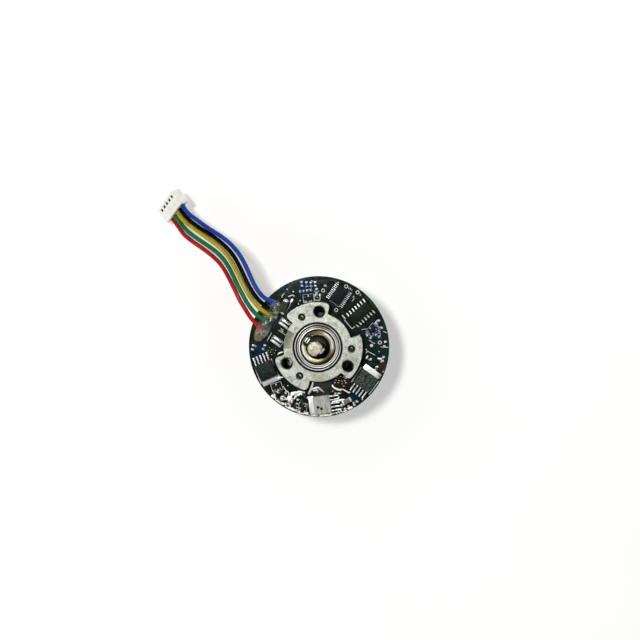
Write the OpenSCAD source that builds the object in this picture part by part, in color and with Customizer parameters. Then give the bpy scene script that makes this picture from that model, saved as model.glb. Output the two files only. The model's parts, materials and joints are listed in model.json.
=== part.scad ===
// Flat outer-rotor brushless motor with a round driver board and a five-way lead.
// Millimetres. The origin is on the shaft's axis, in the mounting face of the bracket.
// +Z runs out along the shaft and +Y runs through the first mounting hole.

/* [Shaft] */
// Diameter of the output shaft
shaft_d = 5; // [4:0.1:6]
// Height of the shaft's tip above the mounting face
shaft_out = 9; // [5:0.5:20]
// Depth of the flat along the shaft
flat_depth = 0.5; // [0.2:0.05:1]
// Height of the flat's foot above the mounting face
flat_start = 0.1; // [0:0.1:3]
// Direction that the flat faces, in degrees
flat_angle = -38; // [-180:1:180]
// Chamfer on the shaft's tip
tip_chamfer = 0.3; // [0.1:0.05:0.6]

/* [Mounting bracket] */
// Diameter of the bracket between its lobes
bracket_d = 24.2; // [23:0.1:25]
// Diameter over the lobes
lobe_d = 31.7; // [31:0.1:33]
// Thickness of the bracket plate
bracket_t = 2.2; // [1.6:0.1:2.6]
// Diameter of the circle through the mounting holes
bolt_circle_d = 25; // [24.5:0.1:26]
// Core diameter of the mounting threads
bolt_core_d = 3.3; // [2.5:0.1:3.6]
// Diameter of the mouth of each mounting hole
bolt_mouth_d = 4.2; // [4:0.1:4.3]
// Diameter of the circle through the board rivets
rivet_circle_d = 24; // [23.5:0.1:25]
// Diameter of the shank of each board rivet
rivet_d = 2; // [1.4:0.1:2.2]

/* [Bearings] */
// Outer diameter of each ball bearing
bearing_d = 14; // [13.6:0.1:15]
// Width of each ball bearing
bearing_w = 5; // [4:0.1:6]
// Diameter of the balls
ball_d = 2; // [1.6:0.1:2.1]
// Distance of the balls' circle inwards from the middle of the bearing's section
ball_inset = 0.15; // [0:0.05:0.3]
// Thickness of the bearing tube's wall
tube_wall = 1.1; // [0.8:0.1:1.6]
// Depth of the front bearing below the mounting face
bearing_sink = 0.7; // [0.6:0.05:1.2]
// Distance between the two bearings
bearing_gap = 6.9; // [5:0.1:9]

/* [Circuit board] */
// Diameter of the round board
board_d = 50; // [49:0.5:56]
// Thickness of the board
board_t = 1.6; // [1:0.1:2]
// Depth of the board's top below the mounting face
board_drop = 3.2; // [3:0.1:4.5]

/* [Stator] */
// Diameter over the stator's poles
stator_d = 37; // [34:0.5:40]
// Height of the stack of laminations
stack_h = 6.5; // [5:0.1:8]
// Depth of the stack's top below the board's underside
stack_drop = 4.1; // [3.6:0.1:5]
// Width of each tooth
tooth_w = 3.4; // [2.8:0.1:3.8]
// Thickness of the winding on each side of a tooth
coil_t = 1.5; // [1:0.1:1.7]
// Thickness of the insulators on the stack's faces
insulator_t = 0.8; // [0.5:0.1:1.2]

/* [Rotor] */
// Gap between the stator's poles and the magnet
air_gap = 0.4; // [0.3:0.05:0.8]
// Thickness of the magnet ring
magnet_t = 2; // [1.5:0.1:3]
// Height of the magnet ring
magnet_h = 9.8; // [8:0.1:11]
// Thickness of the rotor cup's wall
cup_wall = 1.25; // [0.8:0.05:1.6]
// Thickness of the rotor cup's floor
cup_floor_t = 1.2; // [0.8:0.1:1.6]
// Gap between the board's underside and the cup's rim
cup_rim_drop = 1.8; // [1.5:0.1:2.4]

/* [Connector and wires] */
// Distance between two contacts of the connector
contact_pitch = 2; // [1.8:0.05:2.5]
// Length of the connector housing, front to rear
plug_l = 6; // [5.5:0.1:8]
// Thickness of the connector housing
plug_t = 4; // [3.4:0.1:5]
// Thickness of the housing's end walls outside the last contacts
plug_end = 1.9; // [1.6:0.1:2.5]
// Diameter over the insulation of each wire
wire_d = 1.6; // [1:0.05:1.7]

/* [Hidden] */
$fn = 96;

// Overrun of every cut past the face that it leaves
over = 0.2;
// Clearance between pieces that are pressed or seated together
fit_gap = 0.02;
// Loose clearance of pins and pieces in their holes
loose_gap = 0.15;
// Clearance between parts that turn past each other
turn_gap = 0.3;

bolt_count = 3;
bolt_angle = 90;
step_angle = 360 / bolt_count;
rivet_lead_angle = 30;

// Lobe outline, in degrees either side of its hole and in corner radii
lobe_before = 14;
lobe_after = 48.5;
lobe_corner_r = 1.4;
lobe_foot_r = 0.8;
bolt_boss_r = 2.9;
rivet_boss_r = 2.1;
rivet_head_r = 1.15;
rivet_seat_r = 1.4;
rivet_dimple_r = 0.65;
rivet_sink = 0.3;
rivet_head_t = 0.6;
rivet_tail_r = 1.3;
rivet_tail_t = 0.5;
groove_w = 0.8;
groove_depth = 1.2;
collar_w = 1.8;
rim_w = 0.25;
pocket_from = 152;
pocket_to = 185;
pocket_depth = 0.7;
pocket_rim = 0.35;

bracket_r = bracket_d / 2;
lobe_r = lobe_d / 2;
bolt_ring_r = bolt_circle_d / 2;
mouth_w = (bolt_mouth_d - bolt_core_d) / 2;
rivet_ring_r = rivet_circle_d / 2;
shaft_r = shaft_d / 2;
// The shaft is ground a little smaller along its flat
ground_ease = 0.01;
ground_r = shaft_r - ground_ease;
bearing_r = bearing_d / 2;
tube_in_r = bearing_r + fit_gap;
tube_r = tube_in_r + tube_wall;
tube_seat_r = tube_r + fit_gap;
groove_r = tube_r + groove_w;

// Heights, from the mounting face down
board_top = -board_drop;
board_under = board_top - board_t;
front_bearing_top = -bearing_sink;
front_bearing_low = front_bearing_top - bearing_w;
rear_bearing_top = front_bearing_low - bearing_gap;
rear_bearing_low = rear_bearing_top - bearing_w;
stack_top = board_under - stack_drop;
stack_low = stack_top - stack_h;
washer_t = 0.3;
tube_lip = 0.8;
tube_low = rear_bearing_low - tube_lip;
hub_flange_t = 0.8;
hub_nose_h = 0.4;
floor_top = rear_bearing_low - hub_nose_h - hub_flange_t;
floor_low = floor_top - cup_floor_t;
shaft_low = floor_low + tip_chamfer;

// Bearing sections
land_depth = 0.3;
shield_t = 0.25;
shield_set = 0.2;
outer_step_w = 0.45;
inner_step_w = 0.2;
shoulder_w = 0.7;
ball_count = 7;
ball_ring_r = (bearing_r + shaft_r) / 2 - ball_inset;
ball_r = ball_d / 2 - fit_gap;
groove_ball_r = ball_d / 2;
inner_land_r = ball_ring_r - groove_ball_r + land_depth;
outer_land_r = ball_ring_r + groove_ball_r - land_depth;
shield_seat_r = outer_land_r + outer_step_w;
step_r = inner_land_r - inner_step_w;
shield_in_r = step_r + turn_gap + fit_gap;
cage_half_t = 0.32;
cage_half_h = groove_ball_r + 0.3;
race_chamfer = 0.35;

// Circlip on the shaft
clip_t = 0.55;
clip_ring_w = 1.1;
clip_groove = 0.2;
clip_gap_angle = 149;
clip_gap_half = 2;
clip_ear_r = 1.05;
clip_neck_w = 1.6;
clip_neck_l = 0.98;
clip_ear_turn = 14;
clip_hole_r = 0.3;
clip_in_r = shaft_r - clip_groove + fit_gap;
clip_ear_reach = clip_in_r + clip_ring_w + clip_neck_l;

// Stator sections
tooth_count = 9;
tooth_turn = 360 / tooth_count;
tooth_start = tooth_turn / 2;
stator_r = stator_d / 2;
yoke_w = 3.2;
yoke_r = tube_r + yoke_w;
shoe_t = 1.4;
slot_mouth = 2.2;
insulator_rim = 0.7;
insulator_neck_w = 0.5;
coil_root_r = yoke_r + insulator_rim + loose_gap;
coil_tip_r = stator_r - shoe_t - insulator_rim - loose_gap;
coil_corner_r = 1.2;
spool_half_w = tooth_w / 2 + insulator_neck_w;
spool_tip_r = coil_tip_r + loose_gap;
flange_half_w = tooth_w / 2 + coil_t;

// Phase pins through the board
pin_w = 0.6;
pin_inset = 0.3;
pin_hole_r = 0.45;
pin_ring_r = yoke_r - pin_inset;
pin_lead_angle = 45;
pin_out = 0.6;

// Rotor sections
magnet_in_r = stator_r + air_gap;
magnet_out_r = magnet_in_r + magnet_t;
cup_in_r = magnet_out_r + fit_gap;
cup_r = cup_in_r + cup_wall;
cup_rim = board_under - cup_rim_drop;
magnet_set = 0.6;
magnet_top = cup_rim - magnet_set;
cup_bend_r = 1.6;
hub_r = 3.9;
hub_flange_inset = 0.8;
hub_flange_r = bearing_r - hub_flange_inset;
hub_nose_r = step_r - turn_gap;

// Chips: [length, width, height], and their leads: [pitch, width, reach beyond the body]
controller_size = [6.5, 4.4, 1.5];
controller_lead_size = [0.65, 0.28, 1];
controller_lead_count = 10;
logic_size = [8.65, 3.9, 1.5];
logic_lead_size = [1.27, 0.42, 1.05];
logic_lead_count = 7;
lead_t = 0.2;
chip_lift = 0.1;
// Bends of a lead as shares of its reach: outer and inner knee, then inner and outer heel
lead_bend_shares = [0.35, 0.25, 0.5, 0.6];
// Distance of a small package's outer leads from its middle
lead_spread = 0.95;
power_l = 6.1;
power_w = 6.5;
power_h = 2.3;
power_lead_count = 5;
power_lead_pitch = 1.27;
power_lead_w = 0.6;
power_lead_t = 0.5;
power_lead_out = 2.45;
power_tab_t = 0.5;
power_tab_w = 5.4;
power_tab_out = 1.1;
draft = 0.25;

// Places on the board: [share of the board's radius, angle in degrees, turn in degrees where it matters]
controller_place_shares = [0.785, 70.5, 58];
logic_place_shares = [0.765, 41, 43.5];
power_place_shares = [[0.82, 207, 297], [0.82, 327, 57], [0.82, 276, 190]];
diode_place_shares = [0.745, 133, 76];
regulator_place_shares = [0.71, 120.3, 67];
supply_place_shares = [0.865, 300, 30];
shunt_place_shares = [[0.58, 148, -33], [0.6, 175, -33]];
transistor_place_shares = [[0.8, 20, 55], [0.7, 104, 6], [0.83, 226, 20], [0.91, 257.5, 85]];
capacitor_place_shares = [
    [0.92, 107, 100], [0.89, 99, 100], [0.82, 109, 10], [0.79, 94, 95], [0.89, 95, 95], [0.85, 13, -30],
    [0.91, 25, 60], [0.94, 237, 60], [0.9, 246, 60], [0.94, 306, 30], [0.87, 342, 60], [0.93, 352, 80]
];
resistor_place_shares = [
    [0.9, 103, 100], [0.81, 102, 10], [0.73, 93, 5], [0.73, 14, -30], [0.91, 18, 60], [0.94, 5, 80],
    [0.84, 237, 60], [0.9, 230, 40], [0.8, 245, 70], [0.84, 251, 80], [0.95, 293.5, 15], [0.94, 183, 80],
    [0.78, 183, 70], [0.73, 350, -35]
];
hall_place_shares = [[0.78, 50, 50], [0.78, 90, 90], [0.78, 130, 130]];
capacitor_size = [1.6, 0.8, 0.8];
resistor_size = [1.6, 0.8, 0.45];
shunt_size = [3.2, 1.6, 0.6];
diode_size = [4, 2.4, 2];
regulator_size = [4.2, 2.2, 0.9];
regulator_lead_out = 0.4;
transistor_size = [2.9, 1.3, 1];
supply_size = [3.2, 1.6, 1.6];
hall_size = [2.9, 1.6, 1.1];
hall_lead_w = 0.4;

// Connector housing, lying on its edge as the stiff wires hold it
plug_at = [-56.5, 48.3];
plug_yaw = -50;
plug_pitch = -12;
plug_roll = 35;
plug_w = 4 * contact_pitch + 2 * plug_end;
cavity_w = wire_d + 0.1;
cavity_h = 1.9;
window_w = 1.1;
window_set = 0.9;
front_wall = 0.8;
pin_mouth_w = 0.9;
terminal_w = 1.1;
terminal_h = 1.3;
seat_depth = 1.2;

plug_drop_l = plug_l / 2 * abs(sin(plug_pitch));
plug_drop_w = plug_w / 2 * abs(cos(plug_pitch) * sin(plug_roll));
plug_drop_t = plug_t / 2 * abs(cos(plug_pitch) * cos(plug_roll));
plug_z = floor_low + plug_drop_l + plug_drop_w + plug_drop_t;
plug_centre = [plug_at[0], plug_at[1], plug_z];
plug_axis = [
    cos(plug_yaw) * cos(plug_pitch),
    sin(plug_yaw) * cos(plug_pitch),
    -sin(plug_pitch)
];
plug_row = [
    cos(plug_yaw) * sin(plug_pitch) * sin(plug_roll) - sin(plug_yaw) * cos(plug_roll),
    sin(plug_yaw) * sin(plug_pitch) * sin(plug_roll) + cos(plug_yaw) * cos(plug_roll),
    cos(plug_pitch) * sin(plug_roll)
];

// Routes of the wires after the connector, to their soldered ends on the board
wire_sides = 8;
blue_route = [
    [-50.1, 45.8, -10.8], [-47.1, 43.7, -10.2], [-44, 41.7, -9.2],
    [-40.9, 39.9, -8.1], [-37.7, 38.2, -7], [-34.7, 36.3, -5.9],
    [-32, 34.1, -4.9], [-29.6, 31.5, -4], [-27.6, 28.5, -3.3],
    [-25.8, 25.2, -2.7], [-24.1, 21.9, -2.4], [-22.1, 18.8, -2.2],
    [-19.5, 16.4, -2.2], [-15.8, 14.8, -2.35]
];
black_route = [
    [-51.1, 44.5, -11.9], [-48.3, 42.3, -11.1], [-45.2, 40.4, -10],
    [-42, 38.7, -8.8], [-38.9, 36.9, -7.6], [-35.9, 34.8, -6.4],
    [-33.3, 32.6, -5.2], [-31.1, 30, -4.3], [-29.1, 26.9, -3.4],
    [-27.27, 23.62, -2.8], [-25.43, 20.35, -2.39], [-23.24, 17.25, -2.2],
    [-20.7, 14.7, -2.2], [-17, 12.6, -2.35]
];
yellow_route = [
    [-52.2, 43.2, -13.1], [-49.1, 41.2, -12.1], [-46.1, 39.2, -10.9],
    [-42.9, 37.3, -9.6], [-39.9, 35.5, -8.2], [-37, 33.5, -6.9],
    [-34.4, 31.2, -5.7], [-32.2, 28.4, -4.6], [-30.2, 25.3, -3.6],
    [-28.33, 22.08, -2.9], [-26.4, 18.73, -2.41], [-24.13, 15.68, -2.2],
    [-21.5, 13, -2.2], [-17.9, 10.4, -2.35]
];
green_route = [
    [-53.3, 41.9, -14.1], [-50.7, 39.4, -13.1], [-47.6, 37.3, -11.8],
    [-44.6, 35.6, -10.4], [-41.4, 33.8, -8.9], [-38.4, 31.9, -7.5],
    [-35.8, 29.7, -6.1], [-33.5, 26.9, -4.9], [-31.6, 23.9, -3.8],
    [-29.7, 20.6, -3], [-27.7, 17.3, -2.4], [-25.6, 14, -2.2],
    [-23.1, 11.1, -2.2], [-19.5, 8.4, -2.35]
];
red_route = [
    [-54.4, 40.7, -15.3], [-52, 38, -14.1], [-49, 35.9, -12.7],
    [-45.9, 34.1, -11.2], [-42.8, 32.3, -9.7], [-39.8, 30.3, -8.1],
    [-37, 28, -6.6], [-34.7, 25.3, -5.2], [-32.7, 22.3, -4],
    [-30.7, 19, -3], [-28.8, 15.6, -2.4], [-26.6, 12.3, -2.2],
    [-24.3, 9.1, -2.2], [-21, 6, -2.35]
];
wire_routes = [blue_route, black_route, yellow_route, green_route, red_route];

// Solder joints and the hot glue over them
joint_r = 0.65;
joint_h = 1.1;
joint_step = 0.72;
pin_joint_r = 0.7;
pin_joint_h = 0.4;
glue_flat_share = 0.7;
glue_r = [1.4, 1.6, 1.9, 2.4, 2.4];
glue_place_shares = [
    [0.866, 136.9], [0.840, 145.5], [0.838, 156.4],
    [0.857, 166.2], [0.884, 174.3]
];

function polar(r, a) = [r * cos(a), r * sin(a)];
function arc(c, r, from, to, steps) =
    [for (i = [0 : steps]) c + polar(r, from + (to - from) * i / steps)];
function unit(v) = v / norm(v);

// Outline of one lobe: a filleted foot, a rounded corner, the outer arc, a corner and the way back
function lobe_outline(hole) =
    let (
        a = hole - lobe_before,
        b = hole + lobe_after,
        foot_c = a - asin(lobe_foot_r / (bracket_r + lobe_foot_r)),
        corner_r = lobe_r - lobe_corner_r,
        turn = asin(lobe_corner_r / corner_r)
    )
    concat(
        arc(polar(bracket_r + lobe_foot_r, foot_c), lobe_foot_r, foot_c + 180, a + 90, 4),
        arc(polar(corner_r, a + turn), lobe_corner_r, a - 90, a + turn, 5),
        arc([0, 0], lobe_r, a + turn, b - turn, 16),
        arc(polar(corner_r, b - turn), lobe_corner_r, b - turn, b + 90, 5)
    );

function bracket_outline() =
    [for (i = [0 : bolt_count - 1])
        let (
            hole = bolt_angle + i * step_angle,
            next = hole + step_angle - lobe_before - asin(lobe_foot_r / (bracket_r + lobe_foot_r))
        )
        each concat(lobe_outline(hole), arc([0, 0], bracket_r, hole + lobe_after, next, 12))
    ];

// Wire i from 0, blue, to 4, red: its seat in the connector, then its route
function wire_seat(i) =
    plug_centre + plug_axis * (plug_l / 2 - seat_depth) + plug_row * (2 - i) * contact_pitch;
function wire_path(i) = concat([wire_seat(i)], wire_routes[i]);
function wire_end(i) = wire_routes[i][len(wire_routes[i]) - 1];
function wire_end_run(i) =
    unit(wire_end(i) - wire_routes[i][len(wire_routes[i]) - 2]);

function heading(path, i) =
    i == 0 ? plug_axis :
    unit(path[min(i + 1, len(path) - 1)] - path[i - 1]);

// One ring of points round the path, square to it
function ring_points(c, t, r) =
    let (
        side = unit(cross([0, 0, 1], t)),
        up = cross(t, side)
    )
    [for (k = [0 : wire_sides - 1])
        let (a = (k + 0.5) * 360 / wire_sides)
        c + side * r * cos(a) + up * r * sin(a)
    ];

module swept_tube(path, r) {
    n = len(path);
    points = [for (i = [0 : n - 1]) each ring_points(path[i], heading(path, i), r)];
    walls = [
        for (i = [0 : n - 2], k = [0 : wire_sides - 1])
            let (
                a = i * wire_sides + k,
                b = i * wire_sides + (k + 1) % wire_sides
            )
            each [[a, b + wire_sides, b], [a, a + wire_sides, b + wire_sides]]
    ];
    start = [[for (k = [0 : wire_sides - 1]) k]];
    end = [[for (k = [wire_sides - 1 : -1 : 0]) (n - 1) * wire_sides + k]];
    polyhedron(points = points, faces = concat(walls, start, end));
}

// A pipe between two heights
module pipe(outer, inner, low, high) {
    translate([0, 0, low])
        difference() {
            cylinder(h = high - low, r = outer);
            translate([0, 0, -over])
                cylinder(h = high - low + 2 * over, r = inner);
        }
}

module disc(r, low, high) {
    translate([0, 0, low])
        cylinder(h = high - low, r = r);
}

module block(size) {
    translate([-size[0] / 2, -size[1] / 2, 0])
        cube(size);
}

// Children stand on the board at a place given by shares
module on_board(place) {
    rotate([0, 0, place[1]])
        translate([place[0] * board_d / 2, 0, board_top])
            rotate([0, 0, place[2] - place[1]])
                children();
}

module at_bolts(lead, r) {
    for (i = [0 : bolt_count - 1])
        rotate([0, 0, bolt_angle + lead + i * step_angle])
            translate([r, 0, 0])
                children();
}

module mounting_bracket() {
    color([0.78, 0.79, 0.77])
        difference() {
            union() {
                translate([0, 0, -bracket_t])
                    linear_extrude(height = bracket_t)
                        polygon(bracket_outline());
                disc(tube_seat_r + collar_w, board_top, -bracket_t);
                at_bolts(0, bolt_ring_r)
                    disc(bolt_boss_r, board_top, -bracket_t);
                at_bolts(rivet_lead_angle, rivet_ring_r)
                    disc(rivet_boss_r, board_top, -bracket_t);
            }
            disc(tube_seat_r, board_top - over, over);
            disc(groove_r, -groove_depth, over);
            at_bolts(0, bolt_ring_r) {
                disc(bolt_core_d / 2, board_top - over, over);
                translate([0, 0, -mouth_w])
                    cylinder(h = 2 * mouth_w, r1 = bolt_core_d / 2, r2 = bolt_core_d / 2 + 2 * mouth_w);
            }
            at_bolts(rivet_lead_angle, rivet_ring_r) {
                disc(rivet_d / 2 + fit_gap, board_top - over, over);
                disc(rivet_seat_r, -rivet_sink - rivet_head_t, over);
            }
            bracket_pocket();
        }
}

// Shallow pocket in the bracket's face, between the groove and the edge
module bracket_pocket() {
    reach = 2 * bracket_r;
    difference() {
        translate([0, 0, -pocket_depth])
            linear_extrude(height = pocket_depth + over)
                polygon([[0, 0], polar(reach, pocket_from), polar(reach, pocket_to)]);
        disc(groove_r + pocket_rim, -pocket_depth - over, 2 * over);
    }
}

module bearing_tube() {
    color([0.82, 0.82, 0.8])
        difference() {
            pipe(tube_r, bearing_r - shoulder_w, tube_low, 0);
            disc(tube_in_r, front_bearing_low, over);
            disc(tube_in_r, tube_low - over, rear_bearing_top + washer_t + fit_gap);
            translate([0, 0, front_bearing_top])
                cylinder(h = bearing_sink, r1 = tube_in_r, r2 = tube_r - rim_w);
            disc(tube_r - rim_w, 0, over);
        }
}

module board_rivets() {
    color([0.7, 0.7, 0.68])
        at_bolts(rivet_lead_angle, rivet_ring_r)
            difference() {
                union() {
                    disc(rivet_d / 2, board_under - rivet_tail_t, -rivet_sink);
                    disc(rivet_head_r, -rivet_sink - rivet_head_t, -rivet_sink);
                    disc(rivet_tail_r, board_under - rivet_tail_t, board_under);
                }
                translate([0, 0, -rivet_sink - rivet_head_t / 2])
                    cylinder(h = rivet_head_t, r1 = 0, r2 = 2 * rivet_dimple_r);
            }
}

module circuit_board() {
    color([0.05, 0.11, 0.09])
        difference() {
            pipe(board_d / 2, tube_seat_r + loose_gap, board_under, board_top);
            at_bolts(0, bolt_ring_r)
                disc(bolt_mouth_d / 2, board_under - over, board_top + over);
            at_bolts(rivet_lead_angle, rivet_ring_r)
                disc(rivet_d / 2 + fit_gap, board_under - over, board_top + over);
            at_bolts(-pin_lead_angle, pin_ring_r)
                disc(pin_w, board_under - over, board_top + over);
        }
}

module at_teeth() {
    for (i = [0 : tooth_count - 1])
        rotate([0, 0, tooth_start + i * tooth_turn])
            children();
}

module stator_core() {
    color([0.5, 0.5, 0.52])
        translate([0, 0, stack_low])
            linear_extrude(height = stack_h)
                difference() {
                    circle(stator_r);
                    circle(tube_seat_r);
                    difference() {
                        circle(stator_r - shoe_t);
                        circle(yoke_r);
                        at_teeth()
                            translate([tube_seat_r, -tooth_w / 2])
                                square([stator_r - tube_seat_r, tooth_w]);
                    }
                    at_teeth()
                        rotate([0, 0, tooth_turn / 2])
                            translate([stator_r - 2 * shoe_t, -slot_mouth / 2])
                                square([3 * shoe_t, slot_mouth]);
                }
}

// Insulator on the stack's top face, drawn upwards from it; the neck rises to meet the board
module insulator(neck_h) {
    rim_h = insulator_t + coil_t;
    union() {
        pipe(yoke_r + insulator_rim, tube_seat_r, 0, insulator_t);
        pipe(yoke_r + insulator_rim, yoke_r - insulator_rim, 0, neck_h);
        at_teeth() {
            translate([yoke_r, -spool_half_w, 0])
                cube([spool_tip_r - yoke_r, 2 * spool_half_w, insulator_t]);
            translate([spool_tip_r, -flange_half_w, 0])
                cube([insulator_rim, 2 * flange_half_w, rim_h]);
        }
    }
}

module front_insulator() {
    color([0.9, 0.88, 0.78])
        difference() {
            translate([0, 0, stack_top])
                insulator(stack_drop - fit_gap);
            at_bolts(-pin_lead_angle, pin_ring_r)
                disc(pin_hole_r, stack_top + insulator_t, board_under + over);
            at_bolts(rivet_lead_angle, rivet_ring_r)
                disc(rivet_tail_r + loose_gap, board_under - rivet_tail_t - loose_gap, board_under + over);
        }
}

module rear_insulator() {
    color([0.9, 0.88, 0.78])
        translate([0, 0, stack_low])
            mirror([0, 0, 1])
                insulator(insulator_t + coil_t);
}

function round_box(w, h, r) =
    concat(
        arc([w / 2 - r, h / 2 - r], r, 0, 90, 6),
        arc([r - w / 2, h / 2 - r], r, 90, 180, 6),
        arc([r - w / 2, r - h / 2], r, 180, 270, 6),
        arc([w / 2 - r, r - h / 2], r, 270, 360, 6)
    );

// One coil round each tooth and its insulators
module windings() {
    hole_w = 2 * (spool_half_w + fit_gap);
    hole_h = stack_h + 2 * (insulator_t + fit_gap);
    coil_w = hole_w + 2 * coil_t - 2 * insulator_neck_w;
    coil_h = hole_h + 2 * coil_t - 2 * loose_gap;
    color([0.72, 0.36, 0.16])
        at_teeth()
            translate([coil_root_r, 0, (stack_top + stack_low) / 2])
                rotate([90, 0, 90])
                    linear_extrude(height = coil_tip_r - coil_root_r)
                        difference() {
                            polygon(round_box(coil_w, coil_h, coil_corner_r));
                            square([hole_w, hole_h], center = true);
                        }
}

module phase_pins() {
    color([0.8, 0.78, 0.7])
        at_bolts(-pin_lead_angle, pin_ring_r)
            translate([0, 0, stack_top + insulator_t])
                block([pin_w, pin_w, board_top + pin_out - stack_top - insulator_t]);
}

// Flat package with three leads, drawn upwards from its seat
module small_package(size, lead_w, lead_out) {
    union() {
        translate([0, 0, chip_lift])
            block([size[0], size[1], size[2] - chip_lift]);
        for (x = [-lead_spread, lead_spread])
            translate([x, -size[1] / 2 - lead_out / 2, 0])
                block([lead_w, lead_out + chip_lift, lead_t]);
        translate([0, size[1] / 2 + lead_out / 2, 0])
            block([lead_w, lead_out + chip_lift, lead_t]);
        block([size[0], size[1] - 2 * chip_lift, chip_lift + over]);
    }
}

module hall_sensors() {
    color([0.12, 0.12, 0.12])
        translate([0, 0, board_top + board_under])
            mirror([0, 0, 1])
                for (place = hall_place_shares)
                    on_board([place[0], place[1], place[2]])
                        small_package(hall_size, hall_lead_w, hall_lead_w);
}

module outer_race(top) {
    low = top - bearing_w;
    mid = top - bearing_w / 2;
    shield_seat_h = shield_t + shield_set + over;
    color([0.75, 0.75, 0.74])
        difference() {
            pipe(bearing_r, outer_land_r, low, top);
            translate([0, 0, mid])
                rotate_extrude()
                    translate([ball_ring_r, 0])
                        circle(r = groove_ball_r, $fn = 48);
            disc(shield_seat_r, top - shield_seat_h, top + over);
            disc(shield_seat_r, low - over, low + shield_seat_h);
            race_edge(top, 1);
            race_edge(low, -1);
        }
}

// Chamfer round the outer race's edge
module race_edge(z, way) {
    translate([0, 0, z])
        rotate_extrude()
            polygon([
                [bearing_r - race_chamfer, way * over],
                [bearing_r - race_chamfer, 0],
                [bearing_r, -way * race_chamfer],
                [bearing_r + over, -way * race_chamfer],
                [bearing_r + over, way * over]
            ]);
}

module inner_race(top) {
    low = top - bearing_w;
    mid = top - bearing_w / 2;
    step_h = shield_t + shield_set + over;
    color([0.75, 0.75, 0.74])
        difference() {
            union() {
                pipe(step_r, shaft_r + fit_gap, low, top);
                pipe(inner_land_r, shaft_r + fit_gap, low + step_h, top - step_h);
            }
            translate([0, 0, mid])
                rotate_extrude()
                    translate([ball_ring_r, 0])
                        circle(r = groove_ball_r, $fn = 48);
        }
}

module at_balls(top) {
    for (i = [0 : ball_count - 1])
        rotate([0, 0, i * 360 / ball_count])
            translate([ball_ring_r, 0, top - bearing_w / 2])
                children();
}

module balls(top) {
    color([0.85, 0.85, 0.86])
        at_balls(top)
            sphere(r = ball_r, $fn = 32);
}

module ball_cage(top) {
    mid = top - bearing_w / 2;
    cage_r = ball_ring_r + cage_half_t;
    color([0.7, 0.62, 0.4])
        difference() {
            pipe(cage_r, cage_r - 2 * cage_half_t, mid - cage_half_h, mid + cage_half_h);
            at_balls(top)
                sphere(r = ball_r + 2 * fit_gap, $fn = 32);
        }
}

module shields(top) {
    low = top - bearing_w;
    color([0.83, 0.8, 0.72]) {
        pipe(shield_seat_r - fit_gap, shield_in_r, top - shield_set - shield_t, top - shield_set);
        pipe(shield_seat_r - fit_gap, shield_in_r, low + shield_set, low + shield_set + shield_t);
    }
}

module front_outer_race() { outer_race(front_bearing_top); }
module front_inner_race() { inner_race(front_bearing_top); }
module front_balls() { balls(front_bearing_top); }
module front_ball_cage() { ball_cage(front_bearing_top); }
module front_bearing_shields() { shields(front_bearing_top); }
module rear_outer_race() { outer_race(rear_bearing_top); }
module rear_inner_race() { inner_race(rear_bearing_top); }
module rear_balls() { balls(rear_bearing_top); }
module rear_ball_cage() { ball_cage(rear_bearing_top); }
module rear_bearing_shields() { shields(rear_bearing_top); }

module preload_washer() {
    color([0.6, 0.6, 0.58])
        pipe(bearing_r - race_chamfer, shield_seat_r, rear_bearing_top, rear_bearing_top + washer_t);
}

module output_shaft() {
    clip_top = front_bearing_top + fit_gap + clip_t + fit_gap;
    color([0.82, 0.8, 0.74])
        difference() {
            union() {
                disc(shaft_r, shaft_low, flat_start);
                disc(ground_r, flat_start, shaft_out - tip_chamfer);
                translate([0, 0, shaft_out - tip_chamfer])
                    cylinder(h = tip_chamfer, r1 = ground_r, r2 = ground_r - tip_chamfer);
            }
            rotate([0, 0, flat_angle])
                translate([shaft_r - flat_depth, -shaft_d, flat_start])
                    cube([shaft_d, 2 * shaft_d, shaft_out]);
            pipe(shaft_d, shaft_r - clip_groove, front_bearing_top, clip_top);
        }
}

// External circlip with two ears that hold it on the shaft
module retaining_clip() {
    low = front_bearing_top + fit_gap;
    color([0.12, 0.12, 0.12])
        translate([0, 0, low])
            linear_extrude(height = clip_t)
                difference() {
                    union() {
                        circle(r = clip_in_r + clip_ring_w);
                        for (side = [-1, 1])
                            rotate(clip_gap_angle + side * clip_ear_turn) {
                                translate([clip_ear_reach, 0])
                                    circle(r = clip_ear_r, $fn = 32);
                                translate([clip_in_r + clip_ring_w / 2, -clip_neck_w / 2])
                                    square([clip_ear_reach - clip_in_r - clip_ring_w / 2, clip_neck_w]);
                            }
                    }
                    circle(r = clip_in_r);
                    polygon([
                        [0, 0],
                        polar(2 * shaft_d, clip_gap_angle - clip_gap_half),
                        polar(2 * shaft_d, clip_gap_angle + clip_gap_half)
                    ]);
                    for (side = [-1, 1])
                        translate(polar(clip_ear_reach, clip_gap_angle + side * clip_ear_turn))
                            circle(r = clip_hole_r, $fn = 24);
                }
}

module rotor_hub() {
    color([0.76, 0.6, 0.3])
        difference() {
            union() {
                disc(hub_r, floor_low, floor_top);
                disc(hub_flange_r, floor_top, floor_top + hub_flange_t);
                disc(hub_nose_r, floor_top + hub_flange_t, rear_bearing_low);
            }
            disc(shaft_r + fit_gap, floor_low - over, rear_bearing_low + over);
        }
}

module rotor_cup() {
    bend_in_r = cup_bend_r - cup_floor_t / 2;
    color([0.66, 0.67, 0.68])
        rotate_extrude($fn = 128)
            polygon(concat(
                [[hub_r + fit_gap, floor_top], [hub_r + fit_gap, floor_low]],
                arc([cup_r - cup_bend_r, floor_low + cup_bend_r], cup_bend_r, -90, 0, 6),
                [[cup_r, cup_rim], [cup_in_r, cup_rim]],
                arc([cup_in_r - bend_in_r, floor_top + bend_in_r], bend_in_r, 0, -90, 4)
            ));
}

module magnet_ring() {
    color([0.25, 0.25, 0.26])
        pipe(magnet_out_r, magnet_in_r, magnet_top - magnet_h, magnet_top);
}

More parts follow.
